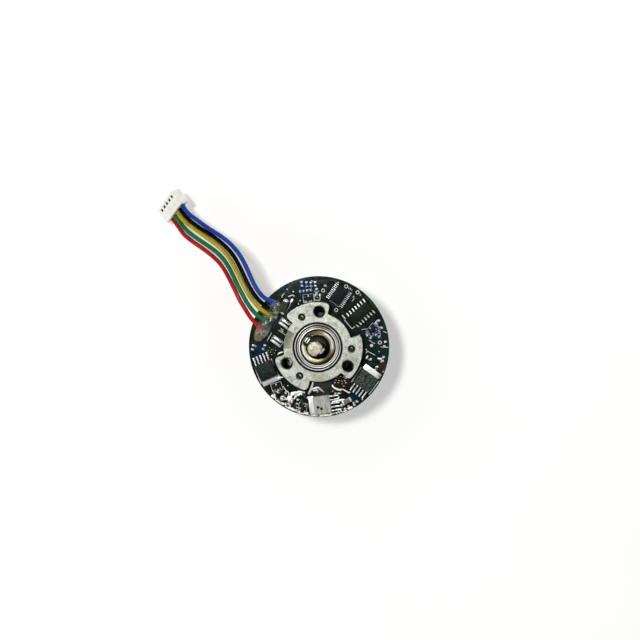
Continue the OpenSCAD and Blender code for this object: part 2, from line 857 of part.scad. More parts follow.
module power_chip_bodies() {
    color([0.1, 0.1, 0.1])
        for (place = power_place_shares)
            on_board(place)
                hull() {
                    translate([0, 0, power_tab_t])
                        block([power_l - draft, power_w - draft, power_tab_t]);
                    translate([0, 0, 2 * power_tab_t])
                        block([power_l, power_w, power_tab_t]);
                    translate([0, 0, power_h - power_tab_t])
                        block([power_l - 2 * draft, power_w - 2 * draft, power_tab_t]);
                }
}

module power_chip_tabs() {
    tab_from = draft - power_l / 2 + power_lead_t;
    color([0.85, 0.85, 0.83])
        for (place = power_place_shares)
            on_board(place)
                translate([tab_from, -power_tab_w / 2, 0])
                    cube([power_l / 2 + power_tab_out - tab_from, power_tab_w, power_tab_t]);
}

// Side outline of a bent lead: it leaves the body at a height, steps down and ends in a foot
function lead_outline(height, out, t) =
    [
        [-t / 2, height],
        [out * lead_bend_shares[0], height],
        [out * lead_bend_shares[3], t],
        [out, t],
        [out, 0],
        [out * lead_bend_shares[2], 0],
        [out * lead_bend_shares[1], height - t],
        [-t / 2, height - t]
    ];

module bent_lead(height, out, t, w) {
    rotate([90, 0, 0])
        translate([0, 0, -w / 2])
            linear_extrude(height = w)
                polygon(lead_outline(height, out, t));
}

module power_chip_leads() {
    color([0.85, 0.85, 0.83])
        for (place = power_place_shares)
            on_board(place)
                for (i = [0 : power_lead_count - 1])
                    translate([
                        -(power_l + power_lead_t) / 2,
                        (i - (power_lead_count - 1) / 2) * power_lead_pitch,
                        0
                    ])
                        mirror([1, 0, 0])
                            bent_lead(power_h / 2, power_lead_out, power_lead_t, power_lead_w);
}

module chip_body(size, place) {
    color([0.1, 0.11, 0.1])
        on_board(place)
            hull() {
                translate([0, 0, chip_lift])
                    block([size[0] - draft, size[1] - draft, lead_t]);
                translate([0, 0, size[2] / 2])
                    block([size[0], size[1], lead_t]);
                translate([0, 0, size[2] - lead_t])
                    block([size[0] - draft, size[1] - draft, lead_t]);
            }
}

// Leads along both long sides of a chip, with a count for each side
module chip_leads(size, lead, count, place) {
    color([0.85, 0.85, 0.83])
        on_board(place)
            for (side = [0, 180], i = [0 : count - 1])
                rotate([0, 0, side])
                    translate([(i - (count - 1) / 2) * lead[0], size[1] / 2, 0])
                        rotate([0, 0, 90])
                            bent_lead(size[2] / 2, lead[2], lead_t, lead[1]);
}

module controller_body() { chip_body(controller_size, controller_place_shares); }
module controller_leads() {
    chip_leads(controller_size, controller_lead_size, controller_lead_count, controller_place_shares);
}

module logic_chip_body() { chip_body(logic_size, logic_place_shares); }
module logic_chip_leads() {
    chip_leads(logic_size, logic_lead_size, logic_lead_count, logic_place_shares);
}

module surge_diode() {
    color([0.14, 0.14, 0.12])
        on_board(diode_place_shares)
            union() {
                translate([0, 0, 2 * lead_t])
                    block([diode_size[0], diode_size[1], diode_size[2] - 2 * lead_t]);
                block([diode_size[0] + 2 * lead_t, diode_size[1] / 2, 3 * lead_t]);
            }
}

module regulator() {
    color([0.12, 0.12, 0.12])
        on_board(regulator_place_shares)
            union() {
                block(regulator_size);
                translate([0, regulator_size[1] / 2, 0])
                    block([regulator_size[0] / 3, 2 * regulator_lead_out, 2 * lead_t]);
                for (x = [-1, 0, 1])
                    translate([x * regulator_size[0] / 3, -regulator_size[1] / 2, 0])
                        block([2 * lead_t, 2 * regulator_lead_out, 2 * lead_t]);
            }
}

module supply_capacitor() {
    color([0.5, 0.4, 0.28])
        on_board(supply_place_shares)
            block(supply_size);
}

module shunt_resistors() {
    color([0.15, 0.15, 0.15])
        for (place = shunt_place_shares)
            on_board(place)
                block(shunt_size);
}

module small_transistors() {
    color([0.1, 0.1, 0.12])
        for (place = transistor_place_shares)
            on_board(place)
                small_package(transistor_size, hall_lead_w, hall_lead_w);
}

module chip_capacitors() {
    color([0.62, 0.52, 0.4])
        for (place = capacitor_place_shares)
            on_board(place)
                block(capacitor_size);
}

module chip_resistors() {
    color([0.1, 0.1, 0.1])
        for (place = resistor_place_shares)
            on_board(place)
                block(resistor_size);
}

module solder_joints() {
    color([0.8, 0.8, 0.8]) {
        for (i = [0 : len(wire_routes) - 1])
            translate([
                wire_end(i)[0] + wire_end_run(i)[0] * joint_step,
                wire_end(i)[1] + wire_end_run(i)[1] * joint_step,
                board_top
            ])
                cylinder(h = joint_h, r1 = joint_r, r2 = joint_r / 2, $fn = 24);
        at_bolts(-pin_lead_angle, pin_ring_r)
            difference() {
                translate([0, 0, board_top])
                    cylinder(h = pin_joint_h, r1 = pin_joint_r, r2 = pin_w, $fn = 24);
                translate([0, 0, board_top - over])
                    block([pin_w, pin_w, pin_joint_h + 2 * over]);
            }
    }
}

// Hot glue over the soldered ends of the wires, flat where it meets the board
module wire_glue() {
    color([0.85, 0.83, 0.7, 0.6])
        intersection() {
            union()
                for (i = [0 : len(glue_r) - 2])
                    hull() {
                        glue_spot(glue_place_shares[i], glue_r[i]);
                        glue_spot(glue_place_shares[i + 1], glue_r[i + 1]);
                    }
            disc(board_d / 2, board_top, 0);
        }
}

module glue_spot(place, r) {
    translate([each polar(place[0] * board_d / 2, place[1]), board_top])
        scale([1, 1, glue_flat_share])
            sphere(r = r, $fn = 24);
}

module wire_blue() { color([0.1, 0.25, 0.75]) swept_tube(wire_path(0), wire_d / 2); }
module wire_black() { color([0.05, 0.05, 0.05]) swept_tube(wire_path(1), wire_d / 2); }
module wire_yellow() { color([0.8, 0.7, 0.1]) swept_tube(wire_path(2), wire_d / 2); }
module wire_green() { color([0.05, 0.45, 0.25]) swept_tube(wire_path(3), wire_d / 2); }
module wire_red() { color([0.75, 0.1, 0.1]) swept_tube(wire_path(4), wire_d / 2); }

module at_plug() {
    translate(plug_centre)
        rotate([plug_roll, plug_pitch, plug_yaw])
            children();
}

module at_contacts() {
    for (i = [0 : len(wire_routes) - 1])
        translate([0, (2 - i) * contact_pitch, 0])
            children();
}

module connector_housing() {
    cavity_l = plug_l - front_wall;
    color([0.93, 0.92, 0.85])
        at_plug()
            difference() {
                translate([-plug_l / 2, -plug_w / 2, -plug_t / 2])
                    cube([plug_l, plug_w, plug_t]);
                at_contacts() {
                    translate([front_wall - plug_l / 2, -cavity_w / 2, -cavity_h / 2])
                        cube([cavity_l + over, cavity_w, cavity_h]);
                    translate([-plug_l / 2 - over, -pin_mouth_w / 2, -pin_mouth_w / 2])
                        cube([front_wall + 2 * over, pin_mouth_w, pin_mouth_w]);
                    translate([window_set - plug_l / 2, -window_w / 2, 0])
                        cube([window_w, window_w, plug_t]);
                }
            }
}

module crimp_terminals() {
    terminal_l = plug_l - front_wall - seat_depth - loose_gap;
    color([0.8, 0.76, 0.6])
        at_plug()
            at_contacts()
                translate([plug_l / 2 - seat_depth - terminal_l, -terminal_w / 2, -cavity_h / 2 + fit_gap])
                    cube([terminal_l, terminal_w, terminal_h]);
}

mounting_bracket();
bearing_tube();
board_rivets();
circuit_board();
stator_core();
front_insulator();
rear_insulator();
windings();
phase_pins();
hall_sensors();
front_outer_race();
front_inner_race();
front_balls();
front_ball_cage();
front_bearing_shields();
rear_outer_race();
rear_inner_race();
rear_balls();
rear_ball_cage();
rear_bearing_shields();
preload_washer();
output_shaft();
retaining_clip();
rotor_hub();
rotor_cup();
magnet_ring();
power_chip_bodies();
power_chip_tabs();
power_chip_leads();
controller_body();
controller_leads();
logic_chip_body();
logic_chip_leads();
surge_diode();
regulator();
shunt_resistors();
small_transistors();
chip_capacitors();
chip_resistors();
supply_capacitor();
solder_joints();
wire_glue();
wire_blue();
wire_black();
wire_yellow();
wire_green();
wire_red();
connector_housing();
crimp_terminals();
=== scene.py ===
"""The looks of a flat outer-rotor brushless motor with a driver board and a five-wire lead.

Laid out as an add-on and run as a script. Every piece is a surface worked out with numpy in metres, in
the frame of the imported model: origin on the shaft in the mounting face, +Z out along the shaft.
"""
import functools
import json
import math
from collections import namedtuple

import bmesh
import bpy
import numpy as np
from bpy.props import FloatProperty, FloatVectorProperty, PointerProperty
from mathutils import Matrix, Vector


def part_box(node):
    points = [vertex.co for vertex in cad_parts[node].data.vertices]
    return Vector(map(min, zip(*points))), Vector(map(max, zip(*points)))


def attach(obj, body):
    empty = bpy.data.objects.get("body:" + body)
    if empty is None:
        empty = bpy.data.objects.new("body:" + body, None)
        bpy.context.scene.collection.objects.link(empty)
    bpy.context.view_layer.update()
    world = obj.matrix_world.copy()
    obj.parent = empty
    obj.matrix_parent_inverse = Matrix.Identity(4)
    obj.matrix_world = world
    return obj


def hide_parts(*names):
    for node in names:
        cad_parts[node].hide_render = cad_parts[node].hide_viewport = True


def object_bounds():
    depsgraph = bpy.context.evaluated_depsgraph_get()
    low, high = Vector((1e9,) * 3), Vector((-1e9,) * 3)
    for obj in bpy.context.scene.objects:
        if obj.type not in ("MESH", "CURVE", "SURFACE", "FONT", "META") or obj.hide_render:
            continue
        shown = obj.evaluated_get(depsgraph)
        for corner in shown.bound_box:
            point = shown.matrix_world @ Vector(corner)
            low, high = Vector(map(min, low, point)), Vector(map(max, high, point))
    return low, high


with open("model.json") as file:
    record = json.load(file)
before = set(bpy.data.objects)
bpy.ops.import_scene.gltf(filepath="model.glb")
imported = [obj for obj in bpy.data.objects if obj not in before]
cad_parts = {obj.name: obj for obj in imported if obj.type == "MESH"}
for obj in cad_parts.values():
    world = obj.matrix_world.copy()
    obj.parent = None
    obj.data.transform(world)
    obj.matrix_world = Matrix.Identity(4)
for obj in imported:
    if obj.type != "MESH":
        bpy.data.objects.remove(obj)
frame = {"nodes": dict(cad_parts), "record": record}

bl_info = {
    "name": "Flat Brushless Motor",
    "version": (1, 0, 0),
    "blender": (4, 5, 0),
    "location": "3D View > Sidebar > Motor",
    "description": "Dresses the frame of a flat outer-rotor motor with its board, bearings and lead",
    "category": "Object",
}

MM = 0.001
TAU = 2 * math.pi
WELD = 1e-7
NODES = frame["nodes"]
CAD_BOX = [list(corner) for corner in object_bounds()]
BOLTS = next(mount["dims"] for mount in frame["record"]["mounts"] if mount["name"] == "mount_holes")


def low(node):
    return np.array(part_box(node)[0])


def high(node):
    return np.array(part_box(node)[1])


# Heights and radii that the frame gives
FLOOR = CAD_BOX[0][2]
BOARD_TOP = high("circuit_board")[2]
BOARD_UNDER = low("circuit_board")[2]
BOARD_R = high("circuit_board")[0]
TUBE_R = high("bearing_tube")[0]
BEARING_R = high("front_outer_race")[0]
SHAFT_R = -low("output_shaft")[1]
BOLT_RING_R = BOLTS["pcd_mm"] * MM / 2

# Room between a turned piece and the one that it fits, and the depth of the shields in the bearings
FIT = 0.02 * MM
SHIELD_DROP = 0.2 * MM
# Radii of the bearings' balls and of the grooves that they run in, and the bore of their cages
BALL_R = 0.98 * MM
GROOVE_R = 1.0 * MM
CAGE_BORE_R = 4.28 * MM
BALL_COUNT = 7

# Photograph's camera, worked out from the board's edge, the mounting holes and the shaft's tip
CAMERA_TURN = 24.26
CAMERA_TILT = 7.0
CAMERA_ROLL = 2.1
CAMERA_AWAY = 0.5
CAMERA_LENS = 80.07
CAMERA_AIM = (0.0005, 0.00965, 0.0)

# Routes of the wires from the connector to the board, in metres
LEAD_ROUTES = {
    "blue": [
        (-0.0501, 0.0458, -0.0108), (-0.0471, 0.0437, -0.0102), (-0.044, 0.0417, -0.0092),
        (-0.0409, 0.0399, -0.0081), (-0.0377, 0.0382, -0.007), (-0.0347, 0.0363, -0.0059),
        (-0.032, 0.0341, -0.0049), (-0.0296, 0.0315, -0.004), (-0.0276, 0.0285, -0.0033),
        (-0.0258, 0.0252, -0.0027), (-0.0241, 0.0219, -0.0024), (-0.0221, 0.0188, -0.0022),
        (-0.0195, 0.0164, -0.0022), (-0.0158, 0.0148, -0.00235),
    ],
    "black": [
        (-0.0511, 0.0445, -0.0119), (-0.0483, 0.0423, -0.0111), (-0.0452, 0.0404, -0.01),
        (-0.042, 0.0387, -0.0088), (-0.0389, 0.0369, -0.0076), (-0.0359, 0.0348, -0.0064),
        (-0.0333, 0.0326, -0.0052), (-0.0311, 0.03, -0.0043), (-0.0291, 0.0269, -0.0034),
        (-0.02727, 0.02362, -0.0028), (-0.02543, 0.02035, -0.00239), (-0.02324, 0.01725, -0.0022),
        (-0.0207, 0.0147, -0.0022), (-0.017, 0.0126, -0.00235),
    ],
    "yellow": [
        (-0.0522, 0.0432, -0.0131), (-0.0491, 0.0412, -0.0121), (-0.0461, 0.0392, -0.0109),
        (-0.0429, 0.0373, -0.0096), (-0.0399, 0.0355, -0.0082), (-0.037, 0.0335, -0.0069),
        (-0.0344, 0.0312, -0.0057), (-0.0322, 0.0284, -0.0046), (-0.0302, 0.0253, -0.0036),
        (-0.02833, 0.02208, -0.0029), (-0.0264, 0.01873, -0.00241), (-0.02413, 0.01568, -0.0022),
        (-0.0215, 0.013, -0.0022), (-0.0179, 0.0104, -0.00235),
    ],
    "green": [
        (-0.0533, 0.0419, -0.0141), (-0.0507, 0.0394, -0.0131), (-0.0476, 0.0373, -0.0118),
        (-0.0446, 0.0356, -0.0104), (-0.0414, 0.0338, -0.0089), (-0.0384, 0.0319, -0.0075),
        (-0.0358, 0.0297, -0.0061), (-0.0335, 0.0269, -0.0049), (-0.0316, 0.0239, -0.0038),
        (-0.0297, 0.0206, -0.003), (-0.0277, 0.0173, -0.0024), (-0.0256, 0.014, -0.0022),
        (-0.0231, 0.0111, -0.0022), (-0.0195, 0.0084, -0.00235),
    ],
    "red": [
        (-0.0544, 0.0407, -0.0153), (-0.052, 0.038, -0.0141), (-0.049, 0.0359, -0.0127),
        (-0.0459, 0.0341, -0.0112), (-0.0428, 0.0323, -0.0097), (-0.0398, 0.0303, -0.0081),
        (-0.037, 0.028, -0.0066), (-0.0347, 0.0253, -0.0052), (-0.0327, 0.0223, -0.004),
        (-0.0307, 0.019, -0.003), (-0.0288, 0.0156, -0.0024), (-0.0266, 0.0123, -0.0022),
        (-0.0243, 0.0091, -0.0022), (-0.021, 0.006, -0.00235),
    ],
}
# Attitude of the connector and how far the wires reach into it
PLUG_YAW = math.radians(-50)
PLUG_PITCH = math.radians(-12)
PLUG_ROLL = math.radians(35)
CONTACT_PITCH = 2 * MM
PLUG_LENGTH = 6 * MM
WINDOW_SET = 1.45 * MM
WIRE_SEAT = 1.2 * MM
WIRE_D = 1.6 * MM


# Surfaces


def unit(vectors):
    vectors = np.asarray(vectors, float)
    return vectors / np.maximum(np.linalg.norm(vectors, axis=-1, keepdims=True), 1e-12)


def axis(turn):
    """The level unit vector at a turn in radians."""
    return np.array([math.cos(turn), math.sin(turn)])


def polar(radius, angle):
    """The point at a radius and an angle in degrees."""
    return radius * axis(math.radians(angle))


def around(count, radius, first):
    """Places and turns of a ring of like things."""
    for angle in first + np.arange(count) * 360 / count:
        yield polar(radius, angle), math.radians(angle)


def grid(points, wrap_u=False, wrap_v=False):
    """Quads between the neighbouring points of a grid, wrapped round along either way where asked."""
    rows, columns = points.shape[:2]
    index = np.arange(rows * columns).reshape(rows, columns)
    if wrap_u:
        index = np.vstack([index, index[:1]])
    if wrap_v:
        index = np.hstack([index, index[:, :1]])
    quads = np.stack([index[:-1, :-1], index[1:, :-1], index[1:, 1:], index[:-1, 1:]], axis=-1)
    return points.reshape(-1, 3), quads.reshape(-1, 4)


def joined(shapes):
    """Several surfaces as one, each one's faces counted on from the points before it."""
    shapes = list(shapes)
    starts = np.cumsum([0] + [len(points) for points, _ in shapes[:-1]])
    points = np.concatenate([points for points, _ in shapes])
    return points, np.concatenate([quads + start for (_, quads), start in zip(shapes, starts)])


def moved(shape, at=(0, 0, 0), turn=0.0, tip=0.0):
    """A surface rolled about X by tip, turned about Z, then carried to a place."""
    matrix = Matrix.Rotation(turn, 3, "Z") @ Matrix.Rotation(tip, 3, "X")
    points, quads = shape
    place = np.zeros(3)
    place[: len(at)] = at
    return points @ np.array(matrix).T + place, quads


def set_down(shape, place, turn=0.0):
    """A surface stood on the board."""
    return moved(shape, (*place, BOARD_TOP), turn)


def upside_down(shape):
    """A surface turned over by half a turn about X."""
    return moved(shape, tip=math.pi)


def stretched(shape, *size):
    """A surface drawn out along its three axes."""
    points, quads = shape
    return points * size, quads


def rounded(points, radius, closed=True, steps=4):
    """An outline with its corners rounded: each gives way to the arc of a circle that touches both its
    sides, and a point on that arc is the spherical blend of the arc's two ends about its middle."""
    points = np.asarray(points, float)
    radii = np.broadcast_to(np.asarray(radius, float), len(points))
    out = []
    for i, (corner, r) in enumerate(zip(points, radii)):
        if r <= 0 or (not closed and i in (0, len(points) - 1)):
            out.append(corner[None])
            continue
        back, on = unit(points[i - 1] - corner), unit(points[(i + 1) % len(points)] - corner)
        half = 0.5 * math.acos(np.clip(back @ on, -1, 1))
        middle = corner + unit(back + on) * r / math.sin(half)
        first, last = corner + back * r / math.tan(half) - middle, corner + on * r / math.tan(half) - middle
        turn = math.acos(np.clip(first @ last / r**2, -1, 1))
        s = np.linspace(0, 1, steps + 1)[:, None]
        out.append(middle + (np.sin((1 - s) * turn) * first + np.sin(s * turn) * last) / math.sin(turn))
    return np.concatenate(out)


def curve_through(points, per_span=8):
    """A smooth line through points: each span is the cubic whose slopes at its ends are half of the step
    between the neighbours."""
    points = np.asarray(points, float)
    p = np.concatenate([2 * points[:1] - points[1:2], points, 2 * points[-1:] - points[-2:-1]])
    t = np.linspace(0, 1, per_span, endpoint=False)[None, :, None]
    a, b, c, d = (p[i : len(p) - 3 + i, None] for i in range(4))
    spans = 0.5 * (2 * b + (c - a) * t + (2 * a - 5 * b + 4 * c - d) * t**2 + (3 * b - a - 3 * c + d) * t**3)
    return np.concatenate([spans.reshape(-1, points.shape[1]), points[-1:]])


def circle(radius, steps=16, flatten=1.0):
    """Points round a circle, with its height flattened where asked."""
    angle = np.linspace(0, TAU, steps, endpoint=False)
    return radius * np.stack([np.cos(angle), flatten * np.sin(angle)], axis=-1)


def box_outline(length, width, corner=0.0, steps=3):
    x, y = length / 2, width / 2
    return rounded([(x, -y), (x, y), (-x, y), (-x, -y)], corner, steps=steps)


def lathe(profile, steps=96, closed=True):
    """A profile of radius and height turned about Z: x is r cos a, y is r sin a and z is the height."""
    r, z = np.asarray(profile, float).T
    angle = np.linspace(0, TAU, steps, endpoint=False)[:, None]
    return grid(np.stack([r * np.cos(angle), r * np.sin(angle), z + 0 * angle], axis=-1), True, closed)


def turned_line(corners, radii_mm, steps=96, closed=True, arc=4):
    """A lathe profile whose corners are rounded by radii in millimetres."""
    return lathe(rounded(corners, np.array(radii_mm) * MM, closed, arc), steps, closed)


def carry(profile, path, up=(0, 0, 1), closed=False, size=None):
    """A profile carried along a path: each of its points stands sideways and upwards of the path's point,
    square to the run and scaled by size, and open ends close on their own middle point."""
    path = np.asarray(path, float)
    if closed:
        run = unit(np.roll(path, -1, axis=0) - np.roll(path, 1, axis=0))
    else:
        run = unit(np.gradient(path, axis=0))
    side = unit(np.cross(up, run))
    rise = np.cross(run, side)
    scale = np.ones(len(path)) if size is None else np.asarray(size, float)
    section = np.asarray(profile, float)[None] * scale[:, None, None]
    points = path[:, None] + side[:, None] * section[..., :1] + rise[:, None] * section[..., 1:]
    if not closed:
        ends = [np.repeat(points[i].mean(0)[None, None], points.shape[1], axis=1) for i in (0, -1)]
        points = np.concatenate([ends[0], points, ends[1]])
    return grid(points, closed, True)


def tower(outlines, heights):
    """Outlines stacked at their heights, the lowest and the highest closed on their middle points."""
    rings = [np.column_stack([o, np.full(len(o), z)]) for o, z in zip(outlines, heights)]
    rings = [np.repeat(rings[0].mean(0)[None], len(rings[0]), axis=0)] + rings
    rings.append(np.repeat(rings[-1].mean(0)[None], len(rings[-1]), axis=0))
    return grid(np.array(rings), False, True)


def block(length, width, bottom, top, edge=0.0, corner=0.0, draft=0.0, waist=0.5):
    """A moulded block: a rounded rectangle that leans in by draft below and above its waist, and whose
    edges follow a quarter circle of radius edge, inset by 1 - sin where the height falls by 1 - cos. Its
    edge, corner and draft are in millimetres, and its waist is a share of its height."""
    edge, corner, draft = edge * MM, corner * MM, draft * MM
    quarter = np.linspace(0, math.pi / 2, 4)
    ease = edge * (1 - np.sin(quarter))
    drop = edge * (1 - np.cos(quarter))
    heights = np.concatenate([bottom + drop, [bottom + waist * (top - bottom)], top - drop[::-1]])
    insets = np.concatenate([draft + ease, [0.0], draft + ease[::-1]])
    corner = max(corner, edge + draft + 0.01 * MM)
    return tower([box_outline(length - 2 * i, width - 2 * i, corner - i) for i in insets], heights)


def dome(radius, height, steps=16, rings=6, sag=0.0):
    """A domed blob on a flat base: radius shrinks as the cosine and height grows as the sine, and sag
    draws its foot outwards into a fillet."""
    a = np.linspace(0, math.pi / 2, rings)
    r = radius * (np.cos(a) + sag * (1 - np.sin(a)) ** 3)
    return lathe(np.vstack([[0, 0], np.column_stack([r, height * np.sin(a)])]), steps, closed=False)


def ball(radius, steps=24):
    """A sphere: a half circle turned about Z."""
    a = np.linspace(-math.pi / 2, math.pi / 2, steps // 2 + 1)
    return lathe(np.column_stack([radius * np.cos(a), radius * np.sin(a)]), steps, closed=False)


def ribbon(path, width, thickness, closed=False):
    """A flat strip of a width along a path on the board."""
    path = np.column_stack([np.asarray(path, float), np.full(len(path), BOARD_TOP + thickness / 2)])
    return carry(box_outline(width, thickness), path, closed=closed)


def washer(outer, inner, height, steps):
    """A flat ring: a rectangle turned about Z."""
    return lathe([(inner, 0), (outer, 0), (outer, height), (inner, height)], steps)


# Places read from the frame

Solid = namedtuple("Solid", "middle turn length width low high")


def loose_parts(points, edges):
    """A label for each point that all points tied to it by edges share: the least index spreads along the
    edges until nothing changes."""
    label = np.arange(len(points))
    while True:
        least = label.copy()
        near = np.minimum(label[edges[:, 0]], label[edges[:, 1]])
        np.minimum.at(least, edges[:, 0], near)
        np.minimum.at(least, edges[:, 1], near)
        if (least == label).all():
            return label
        label = least


@functools.cache
def solids(node):
    """Each separate solid of a CAD node: the middle, turn, length and width of the smallest upright
    rectangle round it, one of whose sides runs along an edge of the solid, and its two heights."""
    mesh = NODES[node].data
    points = np.empty(len(mesh.vertices) * 3)
    mesh.vertices.foreach_get("co", points)
    ends = np.empty(len(mesh.edges) * 2, int)
    mesh.edges.foreach_get("vertices", ends)
    keys = np.round(points.reshape(-1, 3) / (10 * WELD)).astype(int)
    keys, same = np.unique(keys, axis=0, return_inverse=True)
    points, edges = keys * 10 * WELD, same.reshape(-1)[ends].reshape(-1, 2)
    label = loose_parts(points, edges)
    found = []
    for name in np.unique(label):
        part = points[label == name]
        step = np.diff(points[edges[label[edges[:, 0]] == name]], axis=1)[:, 0]
        level = (np.abs(step[:, 2]) < WELD) & (np.linalg.norm(step, axis=1) > 0.1 * MM)
        angles = np.unique(np.round(np.arctan2(step[level, 1], step[level, 0]) % (math.pi / 2), 3))
        best = None
        for angle in angles if len(angles) else [0.0]:
            axes = np.array([axis(angle), axis(angle + math.pi / 2)])
            flat = part[:, :2] @ axes.T
            size = np.ptp(flat, axis=0)
            if best is None or size.prod() < best[0]:
                best = (size.prod(), (flat.min(0) + flat.max(0)) / 2 @ axes, angle, size)
        _, middle, turn, size = best
        if size[1] > size[0]:
            turn, size = turn + math.pi / 2, size[::-1]
        found.append(Solid(middle, turn, size[0], size[1], part[:, 2].min(), part[:, 2].max()))
    return found


def on_board(share, angle):
    """A place on the board from a share of its radius and an angle in degrees."""
    return polar(share * BOARD_R, angle)


def board_line(places, rounding=0.25 * MM):
    """A line through places on the board, with its corners rounded."""
    line = np.array([on_board(*place) for place in places])
    return rounded(line, rounding, closed=False) if len(line) > 2 else line


# Pieces


def tidy_mesh(mesh, sharp, spare_faces=False):
    """Merges the points that lie together, turns the faces outwards and shades them smooth up to an
    edge of the given angle. Flat neighbours are joined where asked."""
    bm = bmesh.new()
    bm.from_mesh(mesh)
    bmesh.ops.remove_doubles(bm, verts=bm.verts, dist=WELD)
    if spare_faces:
        bmesh.ops.dissolve_limit(
            bm, angle_limit=math.radians(0.5), verts=bm.verts, edges=bm.edges, use_dissolve_boundaries=False
        )
    bmesh.ops.recalc_face_normals(bm, faces=bm.faces)
    bm.to_mesh(mesh)
    bm.free()
    shade_smooth(mesh)
    mesh.set_sharp_from_angle(angle=math.radians(sharp))


def shade_smooth(mesh):
    mesh.polygons.foreach_set("use_smooth", np.ones(len(mesh.polygons), bool))


def shown(name, mesh, finish, body, node):
    """Puts a mesh into the scene as a piece that rides on a body and may stand for a CAD node."""
    obj = bpy.data.objects.new(name, mesh)
    bpy.context.scene.collection.objects.link(obj)
    mesh.materials.clear()
    mesh.materials.append(finish)
    if node:
        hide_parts(node)
    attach(obj, body)
    return obj


def piece(name, shape, finish, node=None, body="stator", sharp=38):
    """A new piece from its points and quads, or from a list of such surfaces."""
    points, quads = shape if isinstance(shape, tuple) else joined(shape)
    mesh = bpy.data.meshes.new(name)
    mesh.vertices.add(len(points))
    mesh.vertices.foreach_set("co", np.ascontiguousarray(points, np.float32).ravel())
    mesh.loops.add(quads.size)
    mesh.loops.foreach_set("vertex_index", quads.ravel().astype(np.int32))
    mesh.polygons.add(len(quads))
    mesh.polygons.foreach_set("loop_start", np.arange(len(quads), dtype=np.int32) * 4)
    mesh.update(calc_edges=True)
    tidy_mesh(mesh, sharp)
    return shown(name, mesh, finish, body, node)


def eased_copy(name, node, finish, edge, body="stator"):
    """A CAD node's own shape with its loose triangles merged and its edges rounded."""
    sharp = 30
    mesh = NODES[node].data.copy()
    mesh.name = name
    tidy_mesh(mesh, sharp, spare_faces=True)
    obj = shown(name, mesh, finish, body, node)
    bevel = obj.modifiers.new("Edge", "BEVEL")
    bevel.width = edge
    bevel.segments = 2
    bevel.limit_method = "ANGLE"
    bevel.angle_limit = math.radians(sharp)
    bevel.harden_normals = True
    return obj


def dress(node, finish):
    """Gives a CAD node that stays its material."""
    NODES[node].data.materials.clear()
    NODES[node].data.materials.append(finish)


# Materials


def shader_node(tree, kind, sockets=(), **settings):
    """A shader node with its settings, each of its sockets set to a constant or fed by another socket."""
    made = tree.nodes.new(kind)
    for key, value in settings.items():
        setattr(made, key, value)
    for socket, value in dict(sockets).items():
        if isinstance(value, bpy.types.NodeSocket):
            tree.links.new(value, made.inputs[socket])
        else:
            made.inputs[socket].default_value = value
    return made


def shade(colour, factor, lift=0.0):
    return tuple(factor * part + lift for part in colour)


